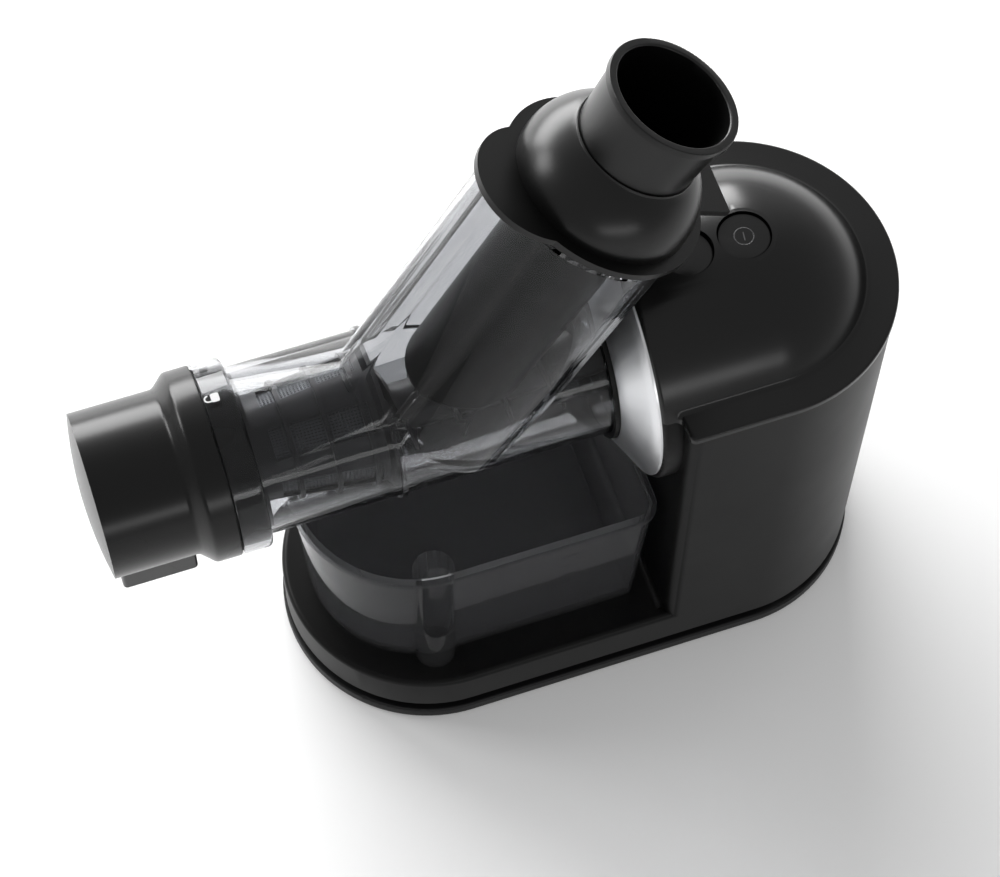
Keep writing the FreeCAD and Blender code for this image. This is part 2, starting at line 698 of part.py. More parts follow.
# Trim ring on the snout, and the hub socket that holds the chamber
ring = turned("ring", [(ring_nose, ring_inner), (snout_front - ring_lip, ring_outer),
                       (snout_front, ring_outer), (snout_front, ring_outer - ring_wall),
                       (snout_front - ring_lip - ring_wall, ring_outer - ring_wall * 2),
                       (ring_nose + ring_wall, ring_inner)],
              rounds=[(ring_nose, ring_inner, 0.5), (snout_front - ring_lip, ring_outer, 0.4)])
node(on_axis(ring), "trim_ring")
hub_bore = chamber_radius + seat_gap
hub_front = ring_nose - 1.6
hub_floor_front = chamber_right + 0.5
drive_hole = neck_radius_auger + 0.6
hub_floor_back = hub_floor_front + hub_floor
hub_flange = snout_front + shell_wall
hub_back = hub_flange + 2
hub = turned("hub", [(hub_front, hub_bore), (hub_floor_front, hub_bore), (hub_floor_front, drive_hole),
                     (hub_floor_back, drive_hole), (hub_floor_back, hub_bore), (hub_back, hub_bore),
                     (hub_back, hub_outer + 4), (hub_flange, hub_outer + 4), (hub_flange, hub_outer),
                     (hub_front, hub_outer)])
node(on_axis(hub), "hub_socket")


# Juicing chamber: level barrel, collar, bead, slanted feed tube and juice nozzle in one clear piece
barrel = rod_x("barrel", (collar_right - 1, chamber_right), chamber_radius)
collar = rod_x("collar", (collar_left, collar_right), collar_radius)
collar_soft = rounded("collar_soft", collar, 2.2, lambda e: near(e.BoundBox.XMin, collar_right)
                      and near(e.BoundBox.XMax, collar_right))
bead = rod_x("bead", (bead_place - bead_width / 2, bead_place + bead_width / 2), chamber_radius + bead_proud)
tube_outer = tube_frame(keyhole("tube_outer", tube_radius, lobe_radius, Measure("0", 0), tube_top))
nozzle_bottom = axis_height - chamber_radius - nozzle_drop
nozzle = rod_up("nozzle", nozzle_place, 0, (nozzle_bottom, axis_height - chamber_radius / 2), nozzle_radius)
chamber_outer = fuse("chamber_outer", barrel, collar_soft, bead, tube_outer, nozzle)
bore_radius = chamber_radius - chamber_wall
bore_right = chamber_right - chamber_end_wall
chamber_bore = rod_x("chamber_bore", (collar_left - 1, bore_right), bore_radius)
collar_bore_radius = collar_radius - chamber_wall
collar_bore = rod_x("collar_bore", (collar_left, collar_left + sleeve_length + seat_gap), collar_bore_radius)
shaft_hole = rod_x("shaft_hole", (bore_right, chamber_right), neck_radius_auger + run_gap)
tube_inner = tube_frame(keyhole("tube_inner", tube_radius - tube_wall, lobe_radius - tube_wall,
                                tube_wall, tube_top + 1))
nozzle_hole = rod_up("nozzle_hole", nozzle_place, 0, (nozzle_bottom, axis_height), nozzle_bore)
node(cut("chamber_cut", chamber_outer, chamber_bore, collar_bore, shaft_hole, tube_inner, nozzle_hole),
     "juice_chamber")

# Strainer: an open tapered frame with rings and bars, and the perforated cone inside it
strainer_length = strainer_right - strainer_left
seat_radius = bore_radius - seat_gap
collar_seat_left = collar_left + sleeve_length + 1
frame_shell = turned("frame_shell", [
    (collar_seat_left, strainer_small - strainer_wall), (strainer_left, strainer_small - strainer_wall),
    (strainer_right, strainer_large - strainer_wall), (bead_place, strainer_large - strainer_wall),
    (bead_place, seat_radius), (bead_place - 2, seat_radius), (strainer_right, strainer_large),
    (strainer_left, strainer_small), (collar_seat_left + 2, strainer_small),
    (collar_seat_left + 2, seat_radius), (collar_seat_left, seat_radius)])
on_axis(frame_shell)
window_count = 6
window_width = 14
window_left = strainer_left + 3
window_right = strainer_right - 3
windows = []
for i in range(window_count // 2):
    slab = make("Part::Box", f"window_{i}", Length=window_right - window_left, Width=2 * seat_radius,
                Height=window_width)
    slab.Placement = Placement(Vector(float(window_left), 0, float(axis_height)),
                               Rotation(Vector(1, 0, 0), 360 / window_count * i)).multiply(
        Placement(Vector(0, -float(seat_radius), -window_width / 2), UPRIGHT))
    windows.append(slab)
frame_open = cut("frame_open", frame_shell, *windows)
ribs = []
rib_count = 3
for i in range(rib_count):
    share = (i + 0.6) / rib_count
    rib_x = strainer_left + strainer_length * share
    rib_radius = strainer_small + (strainer_large - strainer_small) * share
    disc = rod_x(f"rib_disc_{i}", (rib_x, rib_x + rib_width), rib_radius + rib_proud)
    hole = rod_x(f"rib_hole_{i}", (rib_x, rib_x + rib_width), rib_radius - 0.8)
    ribs.append(cut(f"rib_{i}", disc, hole))
node(fuse("strainer_frame_fuse", frame_open, *ribs), "strainer_frame")

mesh_small = strainer_small - strainer_wall - mesh_gap
mesh_large = strainer_large - strainer_wall - mesh_gap
mesh = turned("mesh_cone", [(strainer_left, mesh_small), (strainer_right, mesh_large),
                            (strainer_right, mesh_large - mesh_wall), (strainer_left, mesh_small - mesh_wall)])
node(on_axis(mesh), "strainer_mesh")

# Rear seal between the chamber and the hub's floor
seal = turned("seal", [(chamber_right, neck_radius_auger + 2), (chamber_right + 0.45, neck_radius_auger + 2),
                       (chamber_right + 0.45, neck_radius_auger + 6), (chamber_right, neck_radius_auger + 6)])
node(on_axis(seal), "chamber_seal")

# Auger: a stepped core and one helical flight, tapered inside the strainer
flight_left = strainer_left + 2
flight_right = bore_right - 4
flight_radius = mesh_small - mesh_wall - auger_gap
socket_reach = drive_reach + 1
auger_back = chamber_right + 1.6


def auger_shape():
    """The core turned about X, its hexagonal socket, and one flight rooted inside the core."""
    low, high = float(flight_left), float(flight_right)
    core, pitch, tip = float(auger_core), float(auger_pitch), float(auger_tip)
    back, neck, shoulder = float(auger_back), float(neck_radius_auger), float(bore_right) - 2
    outline = [(low - float(tip_length), 0), (back, 0), (back, neck), (shoulder, neck), (shoulder, core),
               (low, core), (low - 4, tip), (low - float(tip_length), tip)]
    corners = [Vector(x, radius, 0) for x, radius in outline]
    axis = (Vector(0, 0, 0), Vector(1, 0, 0))
    turned_core = Part.Face(Part.makePolygon(corners + corners[:1])).revolve(*axis, 360)
    root, edge = float(flight_thick) / 2, float(flight_thick) / 5
    buried = core - float(flight_root)
    section = Part.makePolygon([Vector(buried, 0, -root), Vector(float(flight_radius), 0, -edge),
                                Vector(float(flight_radius), 0, edge), Vector(buried, 0, root),
                                Vector(buried, 0, -root)])
    flight = Part.Wire(Part.makeHelix(pitch, high - low - 1, buried)).makePipeShell([section], True, True)
    flight.rotate(Vector(0, 0, 0), Vector(0, 1, 0), 90)
    flight.translate(Vector(low + 0.5, 0, 0))
    reach = float(socket_reach)
    hex_radius = (float(drive_flats) + float(drive_gap) * 2) / math.sqrt(3)
    hex_corners = [Vector(back - reach, hex_radius * math.sin(math.radians(60 * i)),
                          hex_radius * math.cos(math.radians(60 * i))) for i in range(7)]
    socket = Part.Face(Part.makePolygon(hex_corners)).extrude(Vector(reach + 1, 0, 0))
    return turned_core.cut(socket).fuse(flight)


doc.recompute()
node(place(solid("auger_whole", auger_shape()), 0, 0, axis_height), "auger")

# End cap: a turned shell with a bulging face, a flare, a collar, a sleeve and a pulp chute
cap_collar_right = collar_left - cap_gap
sleeve_radius = collar_bore_radius - seat_gap
sleeve_right = collar_left + sleeve_length
inner_cap = cap_radius - cap_wall
boss_right = flight_left - tip_length + bush_length - 2
cap_turned = on_axis(turned("cap_turned", [
    (cap_face, 0), (cap_face + cap_wall, 0), (cap_face + cap_wall, inner_cap),
    (cap_flare_left + 1, inner_cap), (cap_collar_left, sleeve_radius - sleeve_wall),
    (sleeve_right, sleeve_radius - sleeve_wall), (sleeve_right, sleeve_radius),
    (cap_collar_right, sleeve_radius), (cap_collar_right, cap_collar_radius),
    (cap_collar_left, cap_collar_radius), (cap_flare_left, cap_radius), (cap_face, cap_radius)],
    rounds=[(cap_flare_left, cap_radius, cap_flare_round), (cap_collar_left, cap_collar_radius, cap_flare_round),
            (cap_collar_right, cap_collar_radius, cap_round / 2)]))
bulge_radius = (cap_radius * cap_radius + cap_bulge * cap_bulge) / (cap_bulge * 2)
bulge_ball = place(make("Part::Sphere", "bulge_ball", Radius=bulge_radius),
                   cap_face - cap_bulge + bulge_radius, 0, axis_height)
bulge_bar = rod_x("bulge_bar", (cap_face - cap_bulge, cap_face + cap_wall / 2), cap_radius)
cap_bulge_solid = common("cap_bulge_solid", bulge_bar, bulge_ball)
cap_boss = rod_x("cap_boss", (cap_face, boss_right), cap_boss_radius)
chute_bottom = axis_height - chute_drop
chute_outer = box("chute_outer", (chute_left, chute_right), (chute_width / -2, chute_width / 2),
                  (chute_bottom, axis_height - cap_boss_radius))
chute_soft = rounded("chute_soft", chute_outer, chute_round, lambda e: e.BoundBox.ZLength > 1)
chute_inner = box("chute_inner", (chute_left + cap_wall, chute_right - cap_wall),
                  (cap_wall - chute_width / 2, chute_width / 2 - cap_wall),
                  (chute_bottom, axis_height - cap_boss_radius - 4))
cap_room = rod_x("cap_room", (cap_face + cap_wall, cap_flare_left + 1), inner_cap)
chute_shell = cut("chute_shell", chute_soft, cap_room)
cap_union = fuse("cap_union", cap_turned, cap_bulge_solid, cap_boss, chute_shell)
bush_left = boss_right - bush_length
bush_bore = rod_x("bush_bore", (bush_left, boss_right), bush_radius)
node(cut("end_cap_cut", cap_union, chute_inner, bush_bore), "end_cap")
bush = on_axis(turned("bush", [(bush_left, auger_tip + run_gap), (boss_right, auger_tip + run_gap),
                               (boss_right, bush_radius), (bush_left, bush_radius)]))
node(bush, "cap_bush")
cap_seal = on_axis(turned("cap_seal_ring", [
    (collar_left - cap_gap, sleeve_radius + 0.1), (collar_left - 0.1, sleeve_radius + 0.1),
    (collar_left - 0.1, sleeve_radius + 1.2), (collar_left - cap_gap, sleeve_radius + 1.2)]))
node(cap_seal, "cap_seal")

# Pusher: a hollow rod with a level end, and a head with flange, dome, neck and cup
flange_low = tube_top + flange_gap
flange_top = flange_low + flange_thick
rod_top = neck_height - 4
world = 400
rod_bar = tube_frame(place(make("Part::Cylinder", "rod_bar", Radius=rod_radius, Height=rod_top), 0, 0, 0))
rod_level = axis_height + rod_clear
rod_half = box("rod_half", (-world, world), (-world, world), (rod_level, rod_level + world))
rod_outer = rounded("rod_outer", common("rod_outer_sharp", rod_bar, rod_half), rod_round,
                    lambda e: flat_at(e, rod_level))
rod_core_bar = tube_frame(make("Part::Cylinder", "rod_core_bar", Radius=rod_radius - rod_wall, Height=rod_top + 1))
rod_core_half = box("rod_core_half", (-world, world), (-world, world),
                    (rod_level + rod_wall, rod_level + world))
rod_core = common("rod_core", rod_core_bar, rod_core_half)
node(cut("pusher_rod_cut", rod_outer, rod_core), "pusher_rod")

cup_radius = rod_radius - rod_wall
head = turned("head", [
    (flange_low, head_radius), (flange_top + head_step, head_radius), (neck_height, neck_radius + 0.7),
    (neck_height + 1.2, neck_radius + 0.7), (neck_height + 1.2, neck_radius),
    (rim_height - rim_band, rim_radius - 1.3), (rim_height - rim_band, rim_radius), (rim_height, rim_radius),
    (rim_height, rim_bore), (neck_height, cup_radius), (rod_top, cup_radius), (rod_top, neck_radius - 1),
    (neck_height - head_wall * 2, neck_radius - 1), (flange_top + head_step, head_radius - head_wall),
    (flange_low, head_radius - head_wall)], "V_Axis",
    rounds=[(rim_height, rim_radius, 0.5), (rim_height, rim_bore, 1), (neck_height, neck_radius + 0.7, 0.4)],
    arcs={1: (dome_arc, True), 12: (dome_arc, False)})
tube_frame(head)
flange_plate = tube_frame(keyhole("flange_plate", flange_radius, flange_lobe, flange_low, flange_top))
tab = place(make("Part::Box", "tab", Length=tab_reach, Width=tab_width, Height=flange_thick),
            0, tab_width / -2, flange_low)
flange_solid = keyhole("flange_solid", flange_radius, flange_lobe, flange_low, flange_top)
flange_disc = fuse("flange_disc", flange_solid, tab)
plug_gap = tube_wall + lip_gap
plug_outer = keyhole("plug_outer", tube_radius - plug_gap, lobe_radius - plug_gap,
                     flange_low - plug_depth, flange_low)
plug_inner = keyhole("plug_inner", tube_radius - plug_gap - head_wall, lobe_radius - plug_gap - head_wall,
                     flange_low - plug_depth, flange_low)
plug = cut("plug", plug_outer, plug_inner)
flange_room = place(make("Part::Cylinder", "flange_room", Radius=head_radius - head_wall,
                         Height=flange_thick), 0, 0, flange_low)
flange_ring = cut("flange_ring", flange_disc, flange_room)
flange_plate = tube_frame(fuse("flange_plate", flange_ring, plug))
node(fuse("pusher_head_fuse", head, flange_plate), "pusher_head")

# Jug: a drafted D shaped tub with a rim, a foot and a grip in its front wall
jug_bottom = deck_height
jug_middle_left = jug_left + jug_half


def d_outline(inset, level, corner):
    """The jug's plan at one level: round at the left, square with soft corners at the right."""
    half = float(jug_half) - inset
    left_x = float(jug_middle_left)
    right_x = float(jug_right) - inset
    soft = max(corner - inset, 1.0)
    z = float(level)
    low_side = Part.LineSegment(Vector(left_x, -half, z), Vector(right_x - soft, -half, z))
    diagonal = soft * (1 - math.sqrt(0.5))
    low_corner = Part.Arc(Vector(right_x - soft, -half, z), Vector(right_x - diagonal, diagonal - half, z),
                          Vector(right_x, soft - half, z))
    right_side = Part.LineSegment(Vector(right_x, soft - half, z), Vector(right_x, half - soft, z))
    high_corner = Part.Arc(Vector(right_x, half - soft, z), Vector(right_x - diagonal, half - diagonal, z),
                           Vector(right_x - soft, half, z))
    high_side = Part.LineSegment(Vector(right_x - soft, half, z), Vector(left_x, half, z))
    round_end = Part.Arc(Vector(left_x, half, z), Vector(left_x - half, 0, z), Vector(left_x, -half, z))
    parts = (low_side, low_corner, right_side, high_corner, high_side, round_end)
    return Part.Wire([part.toShape() for part in parts])


def tub(inset_low, low, inset_high, high, corner):
    """A solid between two levels of the jug's plan, each inset from the plan at the top."""
    return Part.makeLoft([d_outline(inset_low, low, corner), d_outline(inset_high, high, corner)], True, True)


def jug_shape():
    """The whole jug, from walls that lean out by the draft over its height."""
    height = float(jug_top - jug_bottom)
    draft = float(jug_draft)
    wall = float(jug_wall)
    corner = float(jug_corner)
    foot = float(jug_foot)
    lean = draft / height
    outer = tub(draft, jug_bottom, 0, jug_top, corner)
    rim_low = jug_top - jug_rim_height
    rim = tub(-float(jug_rim_proud), rim_low, -float(jug_rim_proud), jug_top, corner)
    room = tub(draft + wall - lean * foot, jug_bottom + jug_foot, wall, jug_top + 0.001, corner)
    under = tub(draft + wall, float(jug_bottom) - 0.001, draft + wall - lean * foot,
                jug_bottom + jug_foot - jug_floor, corner)
    grip_y = draft - float(jug_half) + 2
    grip_top = float(rim_low)
    pillar = Part.makeCylinder(float(grip_radius), grip_top - float(jug_bottom),
                               Vector(float(grip_place), grip_y, float(jug_bottom)))
    scoop_radius = float(grip_radius) - wall
    scoop_low = float(jug_bottom) + height * grip_share
    scoop_y = grip_y - float(grip_radius) * 0.7
    scoop = Part.makeCylinder(scoop_radius, grip_top - scoop_low, Vector(float(grip_place), scoop_y, scoop_low))
    scoop_end = Part.makeSphere(scoop_radius, Vector(float(grip_place), scoop_y, scoop_low))
    body = outer.cut(room).fuse([rim.cut(room), pillar]).removeSplitter()
    return body.cut(under).cut(scoop.fuse(scoop_end)).removeSplitter()


grip_share = 0.45
node(solid("jug_solid", jug_shape()), "jug")

# Gear train: three meshes step the motor's speed down to the auger's
addendum = 0.8
dedendum = 1.1
pressure = math.radians(20)


def centre_distance(module, first, second):
    return module * (first + second) / 2


output_level = axis_height
idler_a_level = output_level - centre_distance(coarse_module, output_teeth, idler_a_small)
idler_b_level = idler_a_level - centre_distance(coarse_module, idler_a_large, idler_b_small)
motor_level = idler_b_level - centre_distance(fine_module, idler_b_large, motor_teeth)
frame_front = tower_front + shell_wall
coarse_low = frame_front + plate_sheet + gear_space
coarse_high = coarse_low + coarse_face
middle_low = coarse_high + gear_space
middle_high = middle_low + middle_face
fine_low = middle_high + gear_space
fine_high = fine_low + fine_face
frame_rear = fine_high + gear_space
frame_back = frame_rear + plate_sheet


def involute(angle):
    return math.tan(angle) - angle


def gear_shape(teeth, module, low, high, bore, level, gap_up):
    """A spur gear about X with involute flanks; a tooth points down, or a gap points up."""
    count = int(round(float(teeth)))
    pitch_radius = float(module) * count / 2
    base_radius = pitch_radius * math.cos(pressure)
    tip = pitch_radius + addendum * float(module)
    root = pitch_radius - dedendum * float(module)
    half_pitch_tooth = (math.pi * float(module) / 2 - float(tooth_slack)) / 2 / pitch_radius
    start = max(base_radius * 1.0005, root + 0.05)
    flank = [start + (tip - start) * share for share in (0, 0.35, 0.7, 1)]
    turn = math.pi - math.pi / count if gap_up else 0
    points = []
    for k in range(count):
        middle = turn + 2 * math.pi * k / count
        half = [half_pitch_tooth + involute(pressure) - involute(math.acos(min(1, base_radius / r)))
                for r in flank]
        side = [(root, half[0] * 0.98)] + list(zip(flank, half))
        for r, a in side:
            points.append(Vector(r * math.cos(middle - a), r * math.sin(middle - a), 0))
        for r, a in reversed(side):
            points.append(Vector(r * math.cos(middle + a), r * math.sin(middle + a), 0))
    points.append(points[0])
    blank = Part.Face(Part.makePolygon(points)).extrude(Vector(0, 0, float(high - low)))
    gear = blank.cut(Part.makeCylinder(float(bore), float(high - low)))
    gear.rotate(Vector(0, 0, 0), Vector(0, 1, 0), 90)
    gear.translate(Vector(float(low), 0, float(level)))
    return gear


def disc_shape(low, high, outer, bore, level):
    """A ring about X between two radii."""
    turn_axis = Vector(1, 0, 0)
    start = Vector(float(low), 0, float(level))
    ring_solid = Part.makeCylinder(float(outer), float(high - low), start, turn_axis)
    return ring_solid.cut(Part.makeCylinder(float(bore), float(high - low), start, turn_axis))


shaft_bore = output_shaft_radius + fit_gap
output_shape = gear_shape(output_teeth, coarse_module, coarse_low, coarse_high, shaft_bore, output_level, False)
node(solid("output_gear_solid", output_shape), "output_gear")
idler_bore = pin_radius + run_gap
idler_a = gear_shape(idler_a_small, coarse_module, coarse_low, middle_low, idler_bore, idler_a_level, True)
idler_a_wheel = gear_shape(idler_a_large, coarse_module, middle_low, middle_high, idler_bore, idler_a_level, False)
node(solid("idler_a_solid", idler_a.fuse(idler_a_wheel)), "idler_gear_a")
idler_b = gear_shape(idler_b_small, coarse_module, middle_low, fine_low, idler_bore, idler_b_level, True)
idler_b_wheel = gear_shape(idler_b_large, fine_module, fine_low, fine_high, idler_bore, idler_b_level, False)
node(solid("idler_b_solid", idler_b.fuse(idler_b_wheel)), "idler_gear_b")
pinion_shape = gear_shape(motor_teeth, fine_module, fine_low, fine_high, motor_shaft_radius + fit_gap / 2,
                          motor_level, True)
node(solid("pinion_solid", pinion_shape), "motor_pinion")

# Gearbox frame: two plates held apart by posts, with the idlers' pins and the output bushes
frame_low = motor_level - motor_radius - 4
frame_high = tower_height - 1
post_places = [(side, level) for side in (-1, 1) for level in (motor_level, output_level + 11)]
hole_radius = screw_radius + screw_gap
post_y = post_spread
pin_seat = pin_radius + fit_gap / 2


def frame_plate(name, low, high, holes):
    slab = box(f"{name}_slab", (low, high), (-plate_half, plate_half), (frame_low, frame_high))
    drilled = [rod_x(f"{name}_hole_{i}", (low, high), radius, y, z) for i, (y, z, radius) in enumerate(holes)]
    return cut(f"{name}_cut", slab, *drilled)


shared_holes = [(0, output_level, bearing_radius), (0, idler_a_level, pin_seat), (0, idler_b_level, pin_seat)]
shared_holes += [(post_y * side, level, hole_radius) for side, level in post_places]
node(frame_plate("front_plate", frame_front, frame_front + plate_sheet, shared_holes), "gearbox_front_plate")
motor_screw_y = motor_radius - 9
rear_holes = shared_holes + [(0, motor_level, motor_shaft_radius + 3)]
rear_holes += [(motor_screw_y * side, motor_level, hole_radius) for side in (-1, 1)]
node(frame_plate("rear_plate", frame_rear, frame_back, rear_holes), "gearbox_rear_plate")
post_parts = []
for i, (side, level) in enumerate(post_places):
    outer = rod_x(f"post_{i}_outer", (frame_front + plate_sheet, frame_rear), post_radius, post_y * side, level)
    inner = rod_x(f"post_{i}_inner", (frame_front + plate_sheet, frame_rear), hole_radius, post_y * side, level)
    post_parts.append(cut(f"post_{i}", outer, inner))
posts = doc.addObject("Part::Compound", "posts")
posts.Links = post_parts
node(posts, "gearbox_posts")
screw_parts = []
for i, (side, level) in enumerate(post_places):
    shank = rod_x(f"frame_shank_{i}", (frame_front + 0.5, frame_back), screw_radius, post_y * side, level)
    head_ = rod_x(f"frame_head_{i}", (frame_back, frame_back + screw_head_height), screw_head, post_y * side, level)
    screw_parts.append(fuse(f"frame_screw_{i}", shank, head_))
frame_screws = doc.addObject("Part::Compound", "frame_screws")
frame_screws.Links = screw_parts
node(frame_screws, "gearbox_screws")
node(rod_x("pin_a", (frame_front, frame_back), pin_radius, 0, idler_a_level), "idler_pin_a")
node(rod_x("pin_b", (frame_front, frame_back), pin_radius, 0, idler_b_level), "idler_pin_b")


def bush_at(name, low, high, inner, outer, level):
    ring_outer_part = rod_x(f"{name}_outer", (low, high), outer, 0, level)
    ring_inner_part = rod_x(f"{name}_inner", (low, high), inner, 0, level)
    return node(cut(f"{name}_cut", ring_outer_part, ring_inner_part), name)


bush_at("output_bush_front", frame_front, frame_front + plate_sheet, output_shaft_radius + run_gap,
        bearing_radius - fit_gap / 2, output_level)
bush_at("output_bush_rear", frame_rear, frame_back, output_shaft_radius + run_gap,
        bearing_radius - fit_gap / 2, output_level)

# Output shaft with its hexagonal drive plug, and the lip seal in the hub's floor
plug_left = auger_back - drive_reach
shaft_left = hub_floor_front + 1.5
plug_hex = place(make("Part::Prism", "plug_hex", Polygon=6, Circumradius=drive_flats / math.sqrt(3),
                      Height=shaft_left - plug_left), plug_left, 0, axis_height, ALONG_X)
shaft_bar = rod_x("shaft_bar", (shaft_left, frame_back + 1), output_shaft_radius)
node(fuse("output_shaft_fuse", plug_hex, shaft_bar), "output_shaft")
bush_at("hub_seal", hub_floor_front + 1.6, hub_floor_back, output_shaft_radius + run_gap, drive_hole, axis_height)

# Motor: can with magnets, brackets and brushes; rotor with shaft, armature, commutator and fan
can_left = frame_back + bracket_thick
can_right = can_left + motor_length
can_inner = motor_radius - can_wall
node(solid("can_solid", disc_shape(can_left, can_right, motor_radius, can_inner, motor_level)), "motor_can")
motor_bush_radius = motor_shaft_radius + 3
front_disc = disc_shape(frame_back, can_left, motor_radius, motor_bush_radius, motor_level)
for side in (-1, 1):
    front_disc = front_disc.cut(Part.makeCylinder(
        float(screw_radius), float(bracket_thick),
        Vector(float(frame_back), float(motor_screw_y) * side, float(motor_level)), Vector(1, 0, 0)))
node(solid("front_bracket_solid", front_disc), "motor_front_bracket")
back_disc = disc_shape(can_right, can_right + bracket_thick, motor_radius, motor_bush_radius, motor_level)
node(solid("rear_bracket_solid", back_disc), "motor_rear_bracket")
bush_at("motor_bush_front", frame_back, can_left, motor_shaft_radius + run_gap, motor_bush_radius - fit_gap / 2,
        motor_level)
bush_at("motor_bush_rear", can_right, can_right + bracket_thick, motor_shaft_radius + run_gap,
        motor_bush_radius - fit_gap / 2, motor_level)
armature_left = can_left + 9
armature_right = can_right - 14
armature_radius = can_inner - magnet_thick - armature_gap
magnet_shape = disc_shape(armature_left, armature_right, can_inner - fit_gap / 2, can_inner - magnet_thick, motor_level)
side_slot = box("magnet_gap", (armature_left, armature_right), (-5, 5),
                (motor_level - motor_radius, motor_level + motor_radius))
magnet_ring = solid("magnet_ring", magnet_shape)
node(cut("magnets_cut", magnet_ring, side_slot), "motor_magnets")
screw_parts = []
for side in (-1, 1):
    shank = rod_x(f"motor_shank_{side + 1}", (frame_rear, can_left), screw_radius - fit_gap / 2,
                  motor_screw_y * side, motor_level)
    head_ = rod_x(f"motor_head_{side + 1}", (frame_rear - screw_head_height, frame_rear), screw_head,
                  motor_screw_y * side, motor_level)
    screw_parts.append(fuse(f"motor_screw_{side + 1}", shank, head_))
motor_screws = doc.addObject("Part::Compound", "motor_screw_pair")
motor_screws.Links = screw_parts
node(motor_screws, "motor_screws")

motor_shaft_left = fine_low - 0.5
fan_left = can_right + bracket_thick + 2
fan_right = fan_left + fan_width
node(rod_x("motor_shaft_bar", (motor_shaft_left, fan_right + 1), motor_shaft_radius, 0, motor_level), "motor_shaft")


def armature_shape():
    """The laminated core with its wire slots."""
    core = disc_shape(armature_left, armature_right, armature_radius, motor_shaft_radius + fit_gap / 2, motor_level)
    length = float(armature_right - armature_left)
    slots = []
    for k in range(slot_count):
        slot = Part.makeBox(length, slot_width, float(armature_radius) * 0.45,
                            Vector(float(armature_left), -slot_width / 2, float(armature_radius) * 0.6))
        slot.rotate(Vector(0, 0, 0), Vector(1, 0, 0), 360 / slot_count * k)
        slot.translate(Vector(0, 0, float(motor_level)))
        slots.append(slot)
    return core.cut(Part.makeCompound(slots))


slot_count = 10
slot_width = 3
node(solid("armature_solid", armature_shape()), "armature_core")
winding_outer = armature_radius - 3
winding_parts = []
for i, (low, high) in enumerate(((armature_left - 4, armature_left), (armature_right, armature_right + 4))):
    winding_parts.append(disc_shape(low, high, winding_outer, motor_shaft_radius + 2, motor_level))
node(solid("windings_solid", Part.makeCompound(winding_parts)), "armature_windings")
commutator_left = armature_right + 4.5
commutator_right = can_right - 0.8
commutator_radius = motor_shaft_radius + 6
node(solid("commutator_solid", disc_shape(commutator_left, commutator_right, commutator_radius,
                                          motor_shaft_radius + fit_gap / 2, motor_level)), "commutator")
brush_parts = []
for side in (-1, 1):
    near_y = commutator_radius + 0.3
    far_y = can_inner - 0.3
    brush_y = (near_y, far_y) if side > 0 else (-far_y, -near_y)
    brush_parts.append(box(f"brush_{side + 1}", (commutator_left + 1, commutator_right - 1), brush_y,
                           (motor_level - 2.5, motor_level + 2.5)))
brushes = doc.addObject("Part::Compound", "brush_pair")
brushes.Links = brush_parts
node(brushes, "motor_brushes")


def fan_shape():
    """A hub, a back disc and straight blades."""
    blades = [disc_shape(fan_left, fan_right, 8, motor_shaft_radius + fit_gap / 2, motor_level),
              disc_shape(fan_right - 1.5, fan_right, fan_radius, motor_shaft_radius + fit_gap / 2, motor_level)]
    count = int(round(float(fan_blades)))
    for k in range(count):
        blade = Part.makeBox(float(fan_width), 1.4, float(fan_radius) - 8,
                             Vector(float(fan_left), -0.7, 7.5))
        blade.rotate(Vector(0, 0, 0), Vector(1, 0, 0), 360 / count * k)
        blade.translate(Vector(0, 0, float(motor_level)))
        blades.append(blade)
    return blades[0].fuse(blades[1:]).removeSplitter()


node(solid("fan_solid", fan_shape()), "cooling_fan")

# Everything is worked out, checked and written
doc.recompute()
broken = [thing.Label for thing in doc.Objects if "Invalid" in thing.State or "Error" in thing.State]
if broken:
    raise RuntimeError(f"objects that failed: {broken}")
os.makedirs("parts", exist_ok=True)
for thing in nodes:
    shape = thing.Shape
    if shape.isNull() or not shape.isValid():
        raise RuntimeError(f"{thing.Label} has no valid shape")
for thing in nodes:
    thing.Shape.exportStep(f"parts/{thing.Label}.step")
    reach = thing.Shape.optimalBoundingBox(False)
    print(f"{thing.Label}: {len(thing.Shape.Solids)} solids, {thing.Shape.Volume / 1000:.1f} cm3, "
          f"x {reach.XMin:.1f} to {reach.XMax:.1f}, z {reach.ZMin:.1f} to {reach.ZMax:.1f}")
print(f"{len(nodes)} nodes")
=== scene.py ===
# %% [markdown]
# Cold press juicer, dressed in Blender.
#
# The juicer is a low black base with a motor tower, a clear chamber that lies level in front of
# the tower, a slanted clear feed tube with a black pusher, a black end cap and a clear jug. The
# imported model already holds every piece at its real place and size, in metres. This lesson gives
# each piece its finish and adds the small details that a moulded product shows close up.

# %% Load the frame
import bmesh
import bpy
import json
import math
from mathutils import Matrix, Vector

